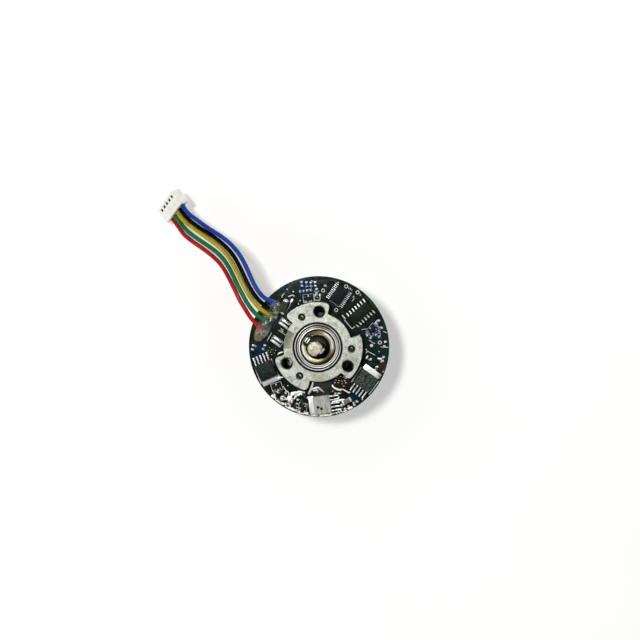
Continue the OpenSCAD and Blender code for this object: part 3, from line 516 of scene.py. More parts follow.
class Finish:
    """A material being built, whose patterns read the piece's own coordinates in millimetres."""

    def __init__(self, name, colour, roughness, metal=0.0, extra=None):
        self.material = bpy.data.materials.new(name)
        self.material.use_nodes = True
        self.material.diffuse_color = self.colour = (*colour, 1)
        self.tree = self.material.node_tree
        self.shader = self.tree.nodes["Principled BSDF"]
        self.normal = None
        settings = {"Base Color": self.colour, "Roughness": roughness, "Metallic": metal, **(extra or {})}
        for socket, value in settings.items():
            self.shader.inputs[socket].default_value = value
        place = self.node("ShaderNodeTexCoord").outputs["Object"]
        in_mm = {0: place, "Scale": 1 / MM}
        self.place = self.node("ShaderNodeVectorMath", in_mm, operation="SCALE").outputs[0]

    def node(self, kind, sockets=(), **settings):
        return shader_node(self.tree, kind, sockets, **settings)

    def feed(self, socket, source):
        self.tree.links.new(source, self.shader.inputs[socket])
        return self

    def sums(self, operation, *values):
        """A Math node of sockets and numbers."""
        return self.node("ShaderNodeMath", enumerate(values), operation=operation).outputs[0]

    def times(self, *values):
        return self.sums("MULTIPLY", *values)

    def noise(self, per_mm, detail=4.0, at=None, warp=0.0):
        sockets = {"Scale": per_mm, "Detail": detail, "Distortion": warp, "Vector": at or self.place}
        return self.node("ShaderNodeTexNoise", sockets).outputs["Fac"]

    def drawn_noise(self, squeeze):
        """A noise drawn out along the axes whose factors are small."""
        mapping = self.node("ShaderNodeMapping", {"Vector": self.place, "Scale": squeeze})
        return self.noise(1.0, 5, at=mapping.outputs[0])

    def cells(self, per_mm):
        return self.node("ShaderNodeTexVoronoi", {"Scale": per_mm, "Vector": self.place}).outputs["Distance"]

    def spread(self, value, start, end, lowest=0.0, highest=1.0):
        """A value's stretch from start to end drawn out smoothly between two others."""
        sockets = {"Value": value, "From Min": start, "From Max": end, "To Min": lowest, "To Max": highest}
        return self.node("ShaderNodeMapRange", sockets, interpolation_type="SMOOTHSTEP").outputs["Result"]

    def tint(self, colour, where):
        """Lays another colour over the colour so far, as strongly as where says."""
        mix = self.node("ShaderNodeMix", {0: where, 6: self.colour, 7: (*colour, 1)}, data_type="RGBA")
        self.colour = mix.outputs[2]
        return self.feed("Base Color", self.colour)

    def stain(self, colour, per_mm, detail, start, end, strength=1.0, warp=0.0):
        """Lays a colour over the clouds of a noise of a fineness and a detail, from the value start, where
        they come in, to end, where they are as strong as strength."""
        clouds = self.noise(per_mm, detail, warp=warp)
        return self.tint(colour, self.spread(clouds, start, end, 0.0, strength))

    def patch(self, colour, middle, reach, fade=0.35, ragged=0.5, strength=1.0):
        """Lays a colour around a place."""
        return self.tint(colour, self.times(self.near(middle, reach, fade, ragged), strength))

    def painted_blue_reflection(self, colour, strength):
        """A bluer colour painted on the patches as a reflection of blue light."""
        for share, angle, reach in BLUE_PATCHES:
            self.patch(colour, on_board(share, angle), reach, 0.8, strength=strength)
        return self

    def worn(self, per_mm, detail, least, most, start=0.3, end=0.7):
        """Roughness that wanders between two values."""
        return self.feed("Roughness", self.spread(self.noise(per_mm, detail), start, end, least, most))

    def bump(self, height, depth_mm):
        """Raises the surface by up to a depth, on top of the bumps so far."""
        sockets = {"Strength": 1.0, "Distance": depth_mm * MM, "Height": height}
        if self.normal is not None:
            sockets["Normal"] = self.normal
        self.normal = self.node("ShaderNodeBump", sockets).outputs["Normal"]
        return self.feed("Normal", self.normal)

    def grain(self, per_mm, detail, depth_mm, warp=0.0):
        return self.bump(self.noise(per_mm, detail, warp=warp), depth_mm)

    def parts_of_place(self):
        return self.node("ShaderNodeSeparateXYZ", {0: self.place}).outputs

    def height(self):
        return self.parts_of_place()[2]

    def radius(self):
        """The distance from the shaft's axis in millimetres."""
        x, y, _ = self.parts_of_place()
        return self.sums("SQRT", self.sums("ADD", self.times(x, x), self.times(y, y)))

    def band(self, start, end, soft=0.06):
        """1 between two radii in millimetres."""
        radius = self.radius()
        inside = self.spread(radius, start - soft, start + soft)
        return self.times(inside, self.spread(radius, end - soft, end + soft, 1.0, 0.0))

    def sheen(self, turn, start, end):
        """Painted highlight: the two opposed bright sectors that lathe lines reflect on a ring, from the
        cosine of twice the angle.
        """
        x, y, _ = self.parts_of_place()
        angle = self.sums("SUBTRACT", self.sums("ARCTAN2", y, x), math.radians(turn))
        return self.spread(self.sums("COSINE", self.times(angle, 2.0)), start, end)

    def turned(self, per_mm, detail=1.0):
        """Fine lines left by a lathe: a noise that changes only with the radius and the height."""
        pair = self.node("ShaderNodeCombineXYZ", {0: self.radius(), 1: self.height()})
        return self.noise(per_mm, detail, at=pair.outputs[0])

    def near(self, middle, reach, fade=0.35, ragged=0.5):
        """1 around a place, falling to 0 near a reach in millimetres, along a more or less ragged edge."""
        level = {0: self.place, 1: (1, 1, 0)}
        flat = self.node("ShaderNodeVectorMath", level, operation="MULTIPLY").outputs[0]
        ends = {0: flat, 1: (*(np.array(middle) / MM), 0)}
        away = self.node("ShaderNodeVectorMath", ends, operation="DISTANCE").outputs["Value"]
        edge = self.times(self.sums("SUBTRACT", self.noise(0.5, 3), 0.5), reach * ragged)
        return self.spread(self.sums("ADD", away, edge), reach * (1 - fade), reach, 1.0, 0.0)

    def upright(self):
        """1 on faces that stand upright, 0 on level ones."""
        normal = self.node("ShaderNodeNewGeometry").outputs["Normal"]
        rise = self.node("ShaderNodeSeparateXYZ", {0: normal}).outputs[2]
        return self.spread(self.sums("ABSOLUTE", rise), 0.3, 0.6, 1.0, 0.0)


def as_material(build):
    """Makes a function that builds a Finish give its material, made once for each name."""
    return functools.cache(lambda *values: build(*values).material)


def colours():
    return bpy.context.scene.motor_colours


def sizes():
    return bpy.context.scene.motor_sizes


@as_material
def cast_aluminium():
    """Tumbled die casting: grey patches, warm stains and a fine pitted skin, with painted shade lower down,
    on its upright faces, in its groove and in its holes' mouths, a painted highlight on one side of each
    mouth and a painted pool of light down one hole."""
    f = Finish("cast_aluminium", colours().casting, 0.52, 0.75)
    f.stain((0.24, 0.26, 0.22), 0.55, 6, 0.5, 0.62, 0.7, 0.5)
    f.stain((0.72, 0.74, 0.67), 1.3, 5, 0.52, 0.64, 0.7, 0.6)
    f.stain((0.16, 0.17, 0.10), 2.4, 5, 0.56, 0.68, 0.6)
    f.patch((0.34, 0.35, 0.24), (0.001, -0.0125), 5, 0.9)
    height = f.height()
    # Painted shade: darker the lower a face lies, down the holes and recesses
    f.tint((0.22, 0.22, 0.15), f.spread(height, -0.35, -0.65, 0.0, 0.7))
    f.tint((0.03, 0.03, 0.028), f.spread(height, -0.75, -1.0, 0.0, 0.9))
    # Painted shade on the upright faces
    f.tint((0.16, 0.16, 0.14), f.times(f.upright(), 0.8))
    # Painted shade, near black, in the groove round the bearing tube
    f.tint((0.012, 0.012, 0.011), f.times(f.spread(height, -0.03, -0.16), f.band(7.0, 9.2)))
    # Painted shade in each hole's mouth, with a painted highlight crescent on its lower-left side
    for hole, _ in around(3, BOLT_RING_R, 90):
        f.patch((0.020, 0.022, 0.018), hole, 2.35, 0.08, 0)
        f.patch((0.74, 0.75, 0.68), hole + polar(0.13 * MM, -130), 2.05, 0.06, 0)
        f.patch((0.012, 0.013, 0.011), hole + polar(0.10 * MM, 50), 2.12, 0.06, 0)
    # A painted pool of light down the hole at 210 degrees
    f.patch((0.80, 0.81, 0.66), polar(BOLT_RING_R, 210) + polar(1.0 * MM, 42), 1.25, 0.3, 0)
    return f.worn(2.5, 5, 0.36, 0.6).grain(2.2, 6, 0.05).bump(f.spread(f.cells(2.4), 0.0, 0.3), 0.02)


# Machined metals: colour, roughness, lathe lines a millimetre and their depth in millimetres
TURNED_METALS = {
    # Near black: painted shade for the crimp terminals and tongues down in the plug's windows
    "crimp_bronze": ((0.010, 0.009, 0.008), 0.5, 9.0, 0.006),
    # Near black: painted shade for the threads down in the mounting holes
    "cut_thread": ((0.05, 0.05, 0.045), 0.3, 9.0, 0.006),
    "spring_steel": ((0.45, 0.45, 0.44), 0.3, 9.0, 0.006),
    "ball_steel": ((0.75, 0.75, 0.75), 0.06, 2.0, 0.0),
    "cage_brass": ((0.70, 0.56, 0.30), 0.3, 9.0, 0.006),
    # Bright: the clip's bars are painted highlights
    "worn_steel": ((0.80, 0.80, 0.76), 0.34, 1.0, 0.004),
    "hub_brass": ((0.72, 0.55, 0.27), 0.26, 6.0, 0.01),
}


@as_material
def turned_metal(name):
    """Machined metal with lathe lines and slight smears."""
    colour, roughness, lines, depth_mm = TURNED_METALS[name]
    f = Finish(name, colour, roughness, 1.0)
    f.stain(shade(colour, 0.6), 0.4, 2, 0.45, 0.75, 0.6)
    return f.worn(0.9, 1, 0.85 * roughness, 1.2 * roughness).bump(f.turned(lines), depth_mm)


@as_material
def tube_steel():
    """The tube's bright collar and rim, with painted shade on its upper side, in the groove between them and
    down inside it.
    """
    f = Finish("tube_metal", (0.84, 0.84, 0.81), 0.42, 1.0)
    # Painted shade on the tube's upper side
    f.patch((0.30, 0.29, 0.25), (0.001, 0.009), 6.5, 0.9, 0)
    f.tint((0.010, 0.010, 0.009), f.band(7.36, 7.84))
    f.tint((0.012, 0.012, 0.011), f.spread(f.height(), -0.6, -0.8))
    return f.bump(f.turned(2.0), 0.006)


@as_material
def race_steel():
    """Ground bearing steel: the outer race bright outside and brown inside with painted shade on its upper
    side, the inner race painted black as shade.
    """
    f = Finish("race_steel", (0.90, 0.90, 0.86), 0.42, 1.0)
    # Painted shade on the race's upper side
    f.patch((0.34, 0.32, 0.26), (0.001, 0.009), 6.5, 0.9, 0)
    f.tint((0.018, 0.015, 0.009), f.band(5.0, 6.45))
    f.tint((0.006, 0.006, 0.006), f.band(3.1, 4.2))
    return f.bump(f.turned(1.6), 0.008)


@as_material
def shield_steel():
    """Pressed shields with two crescents of painted highlight, as lathe lines reflect, on a dark straw
    colour, and painted shade towards the shaft.
    """
    f = Finish("shield_steel", (0.86, 0.84, 0.70), 0.34, 1.0)
    f.tint((0.30, 0.28, 0.15), f.sheen(30, 0.6, 0.0))
    f.tint((0.07, 0.065, 0.035), f.sheen(30, 0.1, -0.9))
    f.tint((0.30, 0.28, 0.17), f.spread(f.turned(2.4), 0.52, 0.6, 0.0, 0.6))
    f.tint((0.008, 0.008, 0.007), f.band(3.0, 4.35, 0.12))
    return f.bump(f.turned(1.6), 0.01)


@as_material
def shaft_steel():
    """Ground steel, dull and mottled on its sawn tip, with a painted highlight on the step under the flat."""
    f = Finish("shaft_steel", (0.50, 0.49, 0.44), 0.16, 1.0)
    height = f.height()
    tip = f.spread(height, 8.6, 8.8)
    f.tint((0.48, 0.46, 0.36), tip)
    f.tint((0.20, 0.19, 0.13), f.times(tip, f.spread(f.noise(0.9, 3), 0.42, 0.6, 0.0, 0.75)))
    # Painted highlight: near white on the step under the flat
    f.tint((0.98, 0.96, 0.84), f.times(f.spread(height, 0.3, 0.12), f.spread(height, -0.6, -0.4)))
    dull = f.sums("MAXIMUM", f.spread(height, 8.6, 8.8, 0.16, 0.42), f.spread(height, 0.3, 0.12, 0.16, 0.42))
    return f.feed("Roughness", dull).bump(f.turned(1.5), 0.006)


@as_material
def rivet_aluminium():
    """Upset rivets: painted shade over most of each pin but one bright side, and down their dimples and
    sides.
    """
    f = Finish("rivet_aluminium", (0.60, 0.61, 0.56), 0.45, 0.8)
    f.stain((0.10, 0.10, 0.09), 0.9, 2, 0.5, 0.56)
    f.tint((0.010, 0.010, 0.009), f.spread(f.height(), -0.36, -0.46))
    # Painted shade over the lower-left of each pin
    for rivet in solids("board_rivets"):
        f.patch((0.03, 0.03, 0.026), rivet.middle + polar(0.3 * MM, -140), 0.62, 0.3, 0)
    return f.grain(2.4, 4, 0.03)


# Patches of the board painted with a reflection of blue light: share of its radius, angle in degrees,
# reach in millimetres
BLUE_PATCHES = [(0.85, 103, 5.4), (0.84, 17, 4.2), (0.83, -176, 3.6), (0.95, 121, 3), (0.88, -52, 2.6)]


@as_material
def solder_mask():
    """Glossy mask over copper and glass cloth, with the raw laminate on the board's rim and painted blue
    reflections.
    """
    f = Finish("solder_mask", colours().mask, 0.16)
    f.stain((0.003, 0.016, 0.010), 0.35, 4, 0.5, 0.6, 0.8, 1.2)
    f.patch((0.004, 0.024, 0.024), on_board(0.95, 5), 10, 0.8)
    f.painted_blue_reflection((0.003, 0.018, 0.045), 1.0)
    f.patch((0.035, 0.040, 0.036), on_board(0.56, -80), 5, 0.6)
    f.patch((0.016, 0.011, 0.009), on_board(0.60, -56), 3.7, 0.2, 0.2)
    f.patch((0.045, 0.032, 0.018), on_board(0.96, -15), 2.4, 0.6)
    f.tint((0.11, 0.10, 0.06), f.upright())
    x, y, _ = f.parts_of_place()
    cloth = f.times(f.sums("SINE", f.times(x, 13.0)), f.sums("SINE", f.times(y, 11.0)))
    return f.worn(1.1, 4, 0.11, 0.19).bump(cloth, 0.001).grain(1.5, 3, 0.004)


@as_material
def covered_copper():
    """Tracks under the mask: the same gloss, a little lighter and greener."""
    f = Finish("covered_copper", (0.005, 0.016, 0.012), 0.2)
    return f.stain((0.012, 0.030, 0.022), 0.7, 4, 0.45, 0.7, 0.8).grain(4, 3, 0.008)


# Tin and solder: colour, roughness, share of metal
TINS = {
    "tinned_copper": ((0.84, 0.85, 0.83), 0.38, 1.0),
    "lead_tin": ((0.86, 0.88, 0.88), 0.40, 1.0),
    "tab_tin": ((0.86, 0.86, 0.84), 0.46, 0.3),
    "plated_tin": ((0.86, 0.87, 0.86), 0.42, 0.6),
    "bead_solder": ((0.92, 0.92, 0.88), 0.42, 1.0),
    "joint_solder": ((0.80, 0.80, 0.78), 0.22, 1.0),
}


@as_material
def tin(name):
    """Tin and solder: bright, with dull patches, painted blue reflections and a slightly rippled skin."""
    colour, roughness, metal = TINS[name]
    f = Finish(name, colour, roughness, metal)
    f.stain((0.34, 0.34, 0.32), 1.8, 5, 0.54, 0.72, 0.6)
    f.painted_blue_reflection((0.14, 0.30, 0.52), 0.6)
    return f.worn(3.0, 4, 0.7 * roughness, 1.3 * roughness).grain(2.6, 4, 0.03, 0.4)


@as_material
def flux():
    """Burnt flux and resin: black, glossy in places."""
    f = Finish("flux", (0.006, 0.006, 0.005), 0.3)
    return f.stain((0.05, 0.04, 0.02), 2.0, 4, 0.55, 0.7).grain(3, 4, 0.05)


@as_material
def rim_tin():
    """Tinned copper along the rim, eaten away in dark and tan specks."""
    f = Finish("rim_tin", (0.88, 0.88, 0.82), 0.45, 0.9)
    f.stain((0.40, 0.30, 0.18), 1.5, 4, 0.56, 0.62, 0.9)
    return f.stain((0.008, 0.010, 0.008), 1.1, 5, 0.52, 0.58, 1.0, 0.5).grain(3, 4, 0.04)


@as_material
def legend_ink():
    """White board print, thin enough in places for the mask to show, with painted blue reflections."""
    f = Finish("legend_ink", (0.78, 0.80, 0.77), 0.55)
    f.stain((0.30, 0.34, 0.32), 2.6, 5, 0.5, 0.72, 0.8)
    return f.painted_blue_reflection((0.08, 0.17, 0.32), 0.8).grain(8, 3, 0.006)


@as_material
def bare_copper():
    f = Finish("bare_copper", (0.62, 0.48, 0.42), 0.45, 1.0)
    return f.stain((0.20, 0.13, 0.11), 2.0, 4, 0.45, 0.7, 0.8).grain(5, 3, 0.01)


RESINS = {
    "chip_resin": (0.004, 0.008, 0.009),
    "green_resin": (0.002, 0.011, 0.004),
    "olive_resin": (0.035, 0.036, 0.022),
    "mark_resin": (0.004, 0.005, 0.004),
}


@as_material
def resin(name):
    """Moulded epoxy: a fine spark-eroded grain with a few pale specks of filler and painted blue reflections.
    """
    colour = RESINS[name]
    f = Finish(name, colour, 0.5, extra={"Specular IOR Level": 0.12})
    f.stain(shade(colour, 3, 0.012), 3.5, 5, 0.58, 0.75, 0.8)
    f.stain(shade(colour, 1.6), 0.6, 4, 0.45, 0.7)
    return f.painted_blue_reflection((0.004, 0.014, 0.045), 0.7).worn(2.2, 4, 0.4, 0.65).grain(9, 4, 0.012)


@as_material
def power_resin():
    """The power chips' epoxy, finely speckled: painted pale glare in streaks on the lowest one and painted
    grey highlights in specks on the one to the right.
    """
    f = Finish("power_resin", (0.004, 0.012, 0.010), 0.5, extra={"Specular IOR Level": 0.15})
    f.stain((0.035, 0.050, 0.042), 1.4, 6, 0.5, 0.68, 0.9)
    # Painted glare: the lowest chip pale, with paler streaks
    lowest = f.near(on_board(0.82, -84), 5.5, 0.1, 0)
    f.tint((0.30, 0.30, 0.28), lowest)
    f.tint((0.50, 0.50, 0.47), f.times(f.spread(f.drawn_noise((1.6, 0.25, 1.0)), 0.34, 0.6), lowest))
    f.patch((0.04, 0.04, 0.035), on_board(0.875, -84.5), 0.8, 0.5)
    # Painted highlights: grey specks over the chip on the right
    right = f.near(on_board(0.82, -33), 5.5, 0.1, 0)
    f.tint((0.11, 0.12, 0.11), f.times(f.spread(f.noise(2.2, 5), 0.46, 0.6), right))
    return f.grain(9, 4, 0.012)


# Ceramics and glazes of the chip parts, and old flux like them: colour, roughness
CERAMICS = {
    "capacitor_ceramic": ((0.13, 0.10, 0.07), 0.4),
    "resistor_glaze": ((0.015, 0.015, 0.018), 0.25),
    "shunt_glaze": ((0.018, 0.017, 0.016), 0.3),
    "supply_ceramic": ((0.16, 0.12, 0.075), 0.4),
    "tan_flux": ((0.40, 0.36, 0.20), 0.4),
}


@as_material
def ceramic(name):
    colour, roughness = CERAMICS[name]
    f = Finish(name, colour, roughness)
    f.stain(shade(colour, 0.6), 2.0, 4, 0.45, 0.7, 0.7)
    # Painted blue reflections on the patches of the board that catch blue light
    f.painted_blue_reflection((0.010, 0.035, 0.11), 0.9)
    return f.worn(4, 3, 0.75 * roughness, 1.3 * roughness).grain(9, 4, 0.008)


@as_material
def soft_vinyl(name, colour):
    """Extruded wire insulation: glossy, faintly rippled, with scuffs, dust and painted shade on its sides."""
    f = Finish(name, colour, 0.28, extra={"Specular IOR Level": 0.06 if max(colour) < 0.01 else 0.2})
    f.stain(shade(colour, 0.5), 0.35, 3, 0.4, 0.7, 0.6)
    f.stain(shade(colour, 0.8, 0.02), 3.5, 6, 0.68, 0.82, 0.5)
    # Painted shade on the wire's sides
    f.tint(shade(colour, 0.3), f.times(f.upright(), 0.8))
    return f.worn(1.2, 4, 0.24, 0.36).grain(0.9, 3, 0.04).grain(7, 3, 0.005)


@as_material
def hot_glue():
    """Cloudy hot-melt glue: cream streaks, partly painted highlight, dark streaks, the wires' colours at
    their ends and amber at its foot with painted white glints.
    """
    f = Finish("hot_glue", (0.12, 0.16, 0.12), 0.2, extra={"Transmission Weight": 0.3, "IOR": 1.48})
    f.patch((0.02, 0.045, 0.055), (-0.0160, 0.0088), 4.2, 0.8)
    # Cream streaks: cloudy glue and painted highlight
    f.stain((0.55, 0.54, 0.40), 0.42, 4, 0.52, 0.62, 0.85, 0.8)
    f.stain((0.015, 0.025, 0.018), 0.6, 4, 0.56, 0.64, 0.8, 0.6)
    for colour, path in wire_paths().items():
        f.patch(getattr(colours(), colour), path[0, :2], 1.7, 0.9, strength=0.8)
    f.patch((0.45, 0.20, 0.14), (-0.0205, 0.0052), 2.6, 0.9, strength=0.6)
    f.patch((0.26, 0.19, 0.09), (-0.0220, 0.0022), 2.8, 0.7)
    # Painted white glints near the glue's foot
    painted_glints = f.times(f.spread(f.cells(0.9), 0.22, 0.12), f.near((-0.0212, 0.003), 3.6, 0.5))
    f.tint((0.95, 0.92, 0.82), painted_glints)
    return f.worn(1.1, 4, 0.12, 0.4, 0.35, 0.65).grain(0.5, 3, 0.10, 0.6)


# Nylon of the plug and of the insulators
NYLONS = {"cream_nylon": (0.93, 0.92, 0.85), "insulator_nylon": (0.74, 0.71, 0.58)}


@as_material
def nylon(name):
    """Moulded nylon: cream, a little see-through at its edges, with a soft sheen, and in shade where the
    topmost mounting hole looks down on it."""
    colour = NYLONS[name]
    f = Finish(name, colour, 0.42, extra={"Subsurface Weight": 0.12, "Subsurface Scale": 0.0006})
    f.stain(shade(colour, 0.8), 0.35, 4, 0.45, 0.7, 0.6)
    f.patch((0.01, 0.01, 0.01), polar(BOLT_RING_R, 90), 3.6, 0.2, 0)
    return f.worn(1.8, 4, 0.34, 0.55).grain(5, 4, 0.012)


@as_material
def enamelled_copper():
    """Enamelled wire, in shade where two of the mounting holes look down on it and lit under the third."""
    f = Finish("enamelled_copper", (0.16, 0.06, 0.025), 0.3, 0.6)
    for hole, _ in around(3, BOLT_RING_R, 90):
        f.patch((0.004, 0.005, 0.004), hole, 3.4, 0.2)
    f.patch((0.90, 0.91, 0.74), polar(BOLT_RING_R, 210) + polar(0.7 * MM, 20), 1.7, 0.4, 0)
    return f.stain((0.08, 0.025, 0.012), 0.5, 4, 0.45, 0.7, 0.8).grain(3, 3, 0.01)


@as_material
def laminated_steel():
    """A stack of half-millimetre sheets, seen on its edges as fine level lines."""
    f = Finish("laminated_steel", (0.34, 0.34, 0.35), 0.42, 0.9)
    sheet = f.sums("ABSOLUTE", f.sums("SINE", f.times(f.height(), TAU)))
    seam = f.times(f.spread(sheet, 0.0, 0.3, 1.0, 0.0), f.upright())
    f.tint((0.08, 0.07, 0.06), seam)
    f.stain((0.24, 0.17, 0.12), 0.9, 5, 0.56, 0.75, 0.6)
    return f.bump(f.sums("SUBTRACT", 1.0, seam), 0.03).grain(5, 4, 0.012)


@as_material
def magnet_ferrite():
    f = Finish("magnet_ferrite", (0.07, 0.07, 0.075), 0.6)
    return f.stain((0.14, 0.14, 0.14), 2.4, 6, 0.55, 0.75, 0.7).grain(6, 5, 0.02)


@as_material
def drawn_steel():
    """Zinc-plated deep-drawn steel with draw lines down the wall and a soft cloudy shine."""
    f = Finish("drawn_steel", (0.60, 0.61, 0.61), 0.34, 1.0)
    f.stain((0.44, 0.45, 0.46), 0.22, 5, 0.45, 0.7, 0.7)
    f.stain((0.66, 0.63, 0.52), 0.09, 3, 0.55, 0.7, 0.35)
    lines = f.drawn_noise((3.0, 3.0, 0.12))
    f.feed("Roughness", f.spread(lines, 0.3, 0.7, 0.26, 0.46))
    return f.bump(lines, 0.01).bump(f.turned(4.0, 2), 0.008)


@as_material
def black_oxide():
    f = Finish("black_oxide", (0.006, 0.006, 0.006), 0.36, 0.3, {"Specular IOR Level": 0.2})
    return f.stain((0.05, 0.05, 0.05), 3.0, 5, 0.6, 0.8, 0.7).grain(7, 4, 0.012)


@as_material
def floor_white():
    """A pale floor that keeps its shadows; seen directly or in gloss it is lifted towards white."""
    colour, lift = (0.99, 0.99, 0.99), 0.19
    f = Finish("floor_white", colour, 0.9, extra={"Specular IOR Level": 0.0, "Emission Color": (1, 1, 1, 1)})
    f.stain(shade(colour, 0.985), 0.01, 3, 0.4, 0.6)
    path = f.node("ShaderNodeLightPath").outputs
    seen = f.sums("MAXIMUM", path["Is Camera Ray"], path["Is Glossy Ray"])
    seen = f.sums("MAXIMUM", seen, path["Is Transmission Ray"])
    return f.feed("Emission Strength", f.times(seen, lift))


# What a user may change

LENGTH = {"unit": "LENGTH", "subtype": "DISTANCE", "precision": 6}
COLOUR = {"size": 3, "min": 0, "max": 1, "subtype": "COLOR"}


class MotorSizes(bpy.types.PropertyGroup):
    casting_edge: FloatProperty(
        name="Casting edge", description="Radius along the edges of the cast bracket",
        default=0.22 * MM, min=0, **LENGTH)
    thread_pitch: FloatProperty(
        name="Thread pitch", description="Pitch of the threads in the mounting holes",
        default=0.7 * MM, min=0.2 * MM, **LENGTH)
    winding_wire: FloatProperty(
        name="Winding wire", description="Diameter of the wire wound on the teeth",
        default=0.42 * MM, min=0.1 * MM, **LENGTH)
    track_height: FloatProperty(
        name="Track height", description="Height of the board's tracks and pads above its face",
        default=0.03 * MM, min=0, **LENGTH)
    cup_step: FloatProperty(
        name="Cup step", description="Depth of the ring pressed into the rotor cup's floor",
        default=0.35 * MM, min=0, **LENGTH)


class MotorColours(bpy.types.PropertyGroup):
    casting: FloatVectorProperty(
        name="Casting", description="Cast aluminium of the bracket",
        default=(0.48, 0.50, 0.44), **COLOUR)
    mask: FloatVectorProperty(
        name="Board", description="Solder mask of the driver board",
        default=(0.0025, 0.0075, 0.006), **COLOUR)
    blue: FloatVectorProperty(
        name="Blue wire", description="Insulation of the first wire",
        default=(0.005, 0.050, 0.36), **COLOUR)
    black: FloatVectorProperty(
        name="Black wire", description="Insulation of the second wire",
        default=(0.002, 0.002, 0.003), **COLOUR)
    yellow: FloatVectorProperty(
        name="Yellow wire", description="Insulation of the third wire",
        default=(0.50, 0.38, 0.005), **COLOUR)
    green: FloatVectorProperty(
        name="Green wire", description="Insulation of the fourth wire",
        default=(0.001, 0.18, 0.055), **COLOUR)
    red: FloatVectorProperty(
        name="Red wire", description="Insulation of the fifth wire",
        default=(0.47, 0.007, 0.007), **COLOUR)


# Making the pieces


class Step:
    """What every operator here shares."""

    bl_options = {"REGISTER", "UNDO"}


def camera_axes():
    """The camera's right, up and back: back leans from +Z by the tilt towards the turn, right is square to
    it and to +Y, and the roll turns right and up about back."""
    turn, tilt, roll = (math.radians(a) for a in (CAMERA_TURN, CAMERA_TILT, CAMERA_ROLL))
    back = np.array([*math.sin(tilt) * axis(turn), math.cos(tilt)])
    right = unit(np.cross((0, 1, 0), back))
    up = np.cross(back, right)
    return math.cos(roll) * right + math.sin(roll) * up, math.cos(roll) * up - math.sin(roll) * right, back


class MOTOR_OT_camera(Step, bpy.types.Operator):
    """Set the camera at the photograph's angle, distance and framing"""

    bl_idname = "motor.camera"
    bl_label = "Camera"

    def execute(self, context):
        axes = camera_axes()
        place = np.array(CAMERA_AIM) + CAMERA_AWAY * axes[2]
        data = bpy.data.cameras.new("camera")
        data.sensor_width = 36
        data.lens = CAMERA_LENS
        data.clip_start = 0.02
        data.clip_end = 20
        camera = bpy.data.objects.new("camera", data)
        context.scene.collection.objects.link(camera)
        camera.matrix_world = Matrix(np.vstack([np.column_stack([*axes, place]), [0, 0, 0, 1]]).tolist())
        context.scene.camera = camera
        return {"FINISHED"}


def plug_axes():
    """The connector's run towards its wires, its row towards the blue wire and its upper face's normal."""
    turn = Matrix.Rotation(PLUG_YAW, 3, "Z") @ Matrix.Rotation(PLUG_PITCH, 3, "Y")
    return np.array(turn @ Matrix.Rotation(PLUG_ROLL, 3, "X")).T


def in_plug(contact, along):
    """The place of a contact, from 0 at the blue wire, this far along the connector from its middle."""
    run, row, _ = plug_axes()
    middle = (low("connector_housing") + high("connector_housing")) / 2
    return middle + run * along + row * (2 - contact) * CONTACT_PITCH


@functools.cache
def wire_paths():
    """The lines of the wires from the board back to their seats in the connector."""
    paths = {}
    for contact, (colour, route) in enumerate(LEAD_ROUTES.items()):
        seat = in_plug(contact, PLUG_LENGTH / 2 - WIRE_SEAT)
        paths[colour] = curve_through([seat, *route])[::-1]
    return paths


class MOTOR_OT_lead(Step, bpy.types.Operator):
    """Run the five wires from the board to the connector"""

    bl_idname = "motor.lead"
    bl_label = "Wires and connector"

    def execute(self, context):
        cream = nylon("cream_nylon")
        housing = eased_copy("plug_housing", "connector_housing", cream, 0.1 * MM)
        shaded_bronze = turned_metal("crimp_bronze")
        dress("crimp_terminals", shaded_bronze)
        # Tongues in near-black metal fill the plug's windows with painted shade
        shapes = [self.tongue(contact) for contact in range(len(LEAD_ROUTES))]
        tongues = piece("terminal_tongues", shapes, shaded_bronze)
        for colour, path in wire_paths().items():
            finish = soft_vinyl(f"{colour}_vinyl", tuple(getattr(colours(), colour)))
            tube = carry(circle(WIRE_D / 2, 16), path)
            wire = piece(f"{colour}_wire", tube, finish, f"wire_{colour}")
        return {"FINISHED"}

    def tongue(self, contact):
        """The locking tongue of a terminal, which fills its window just under the plug's upper face; its
        near-black finish paints the window's shade.
        """
        points, quads = block(1.04 * MM, 1.04 * MM, 0.6 * MM, 1.72 * MM, edge=0.06)
        return points @ plug_axes() + in_plug(contact, WINDOW_SET - PLUG_LENGTH / 2), quads


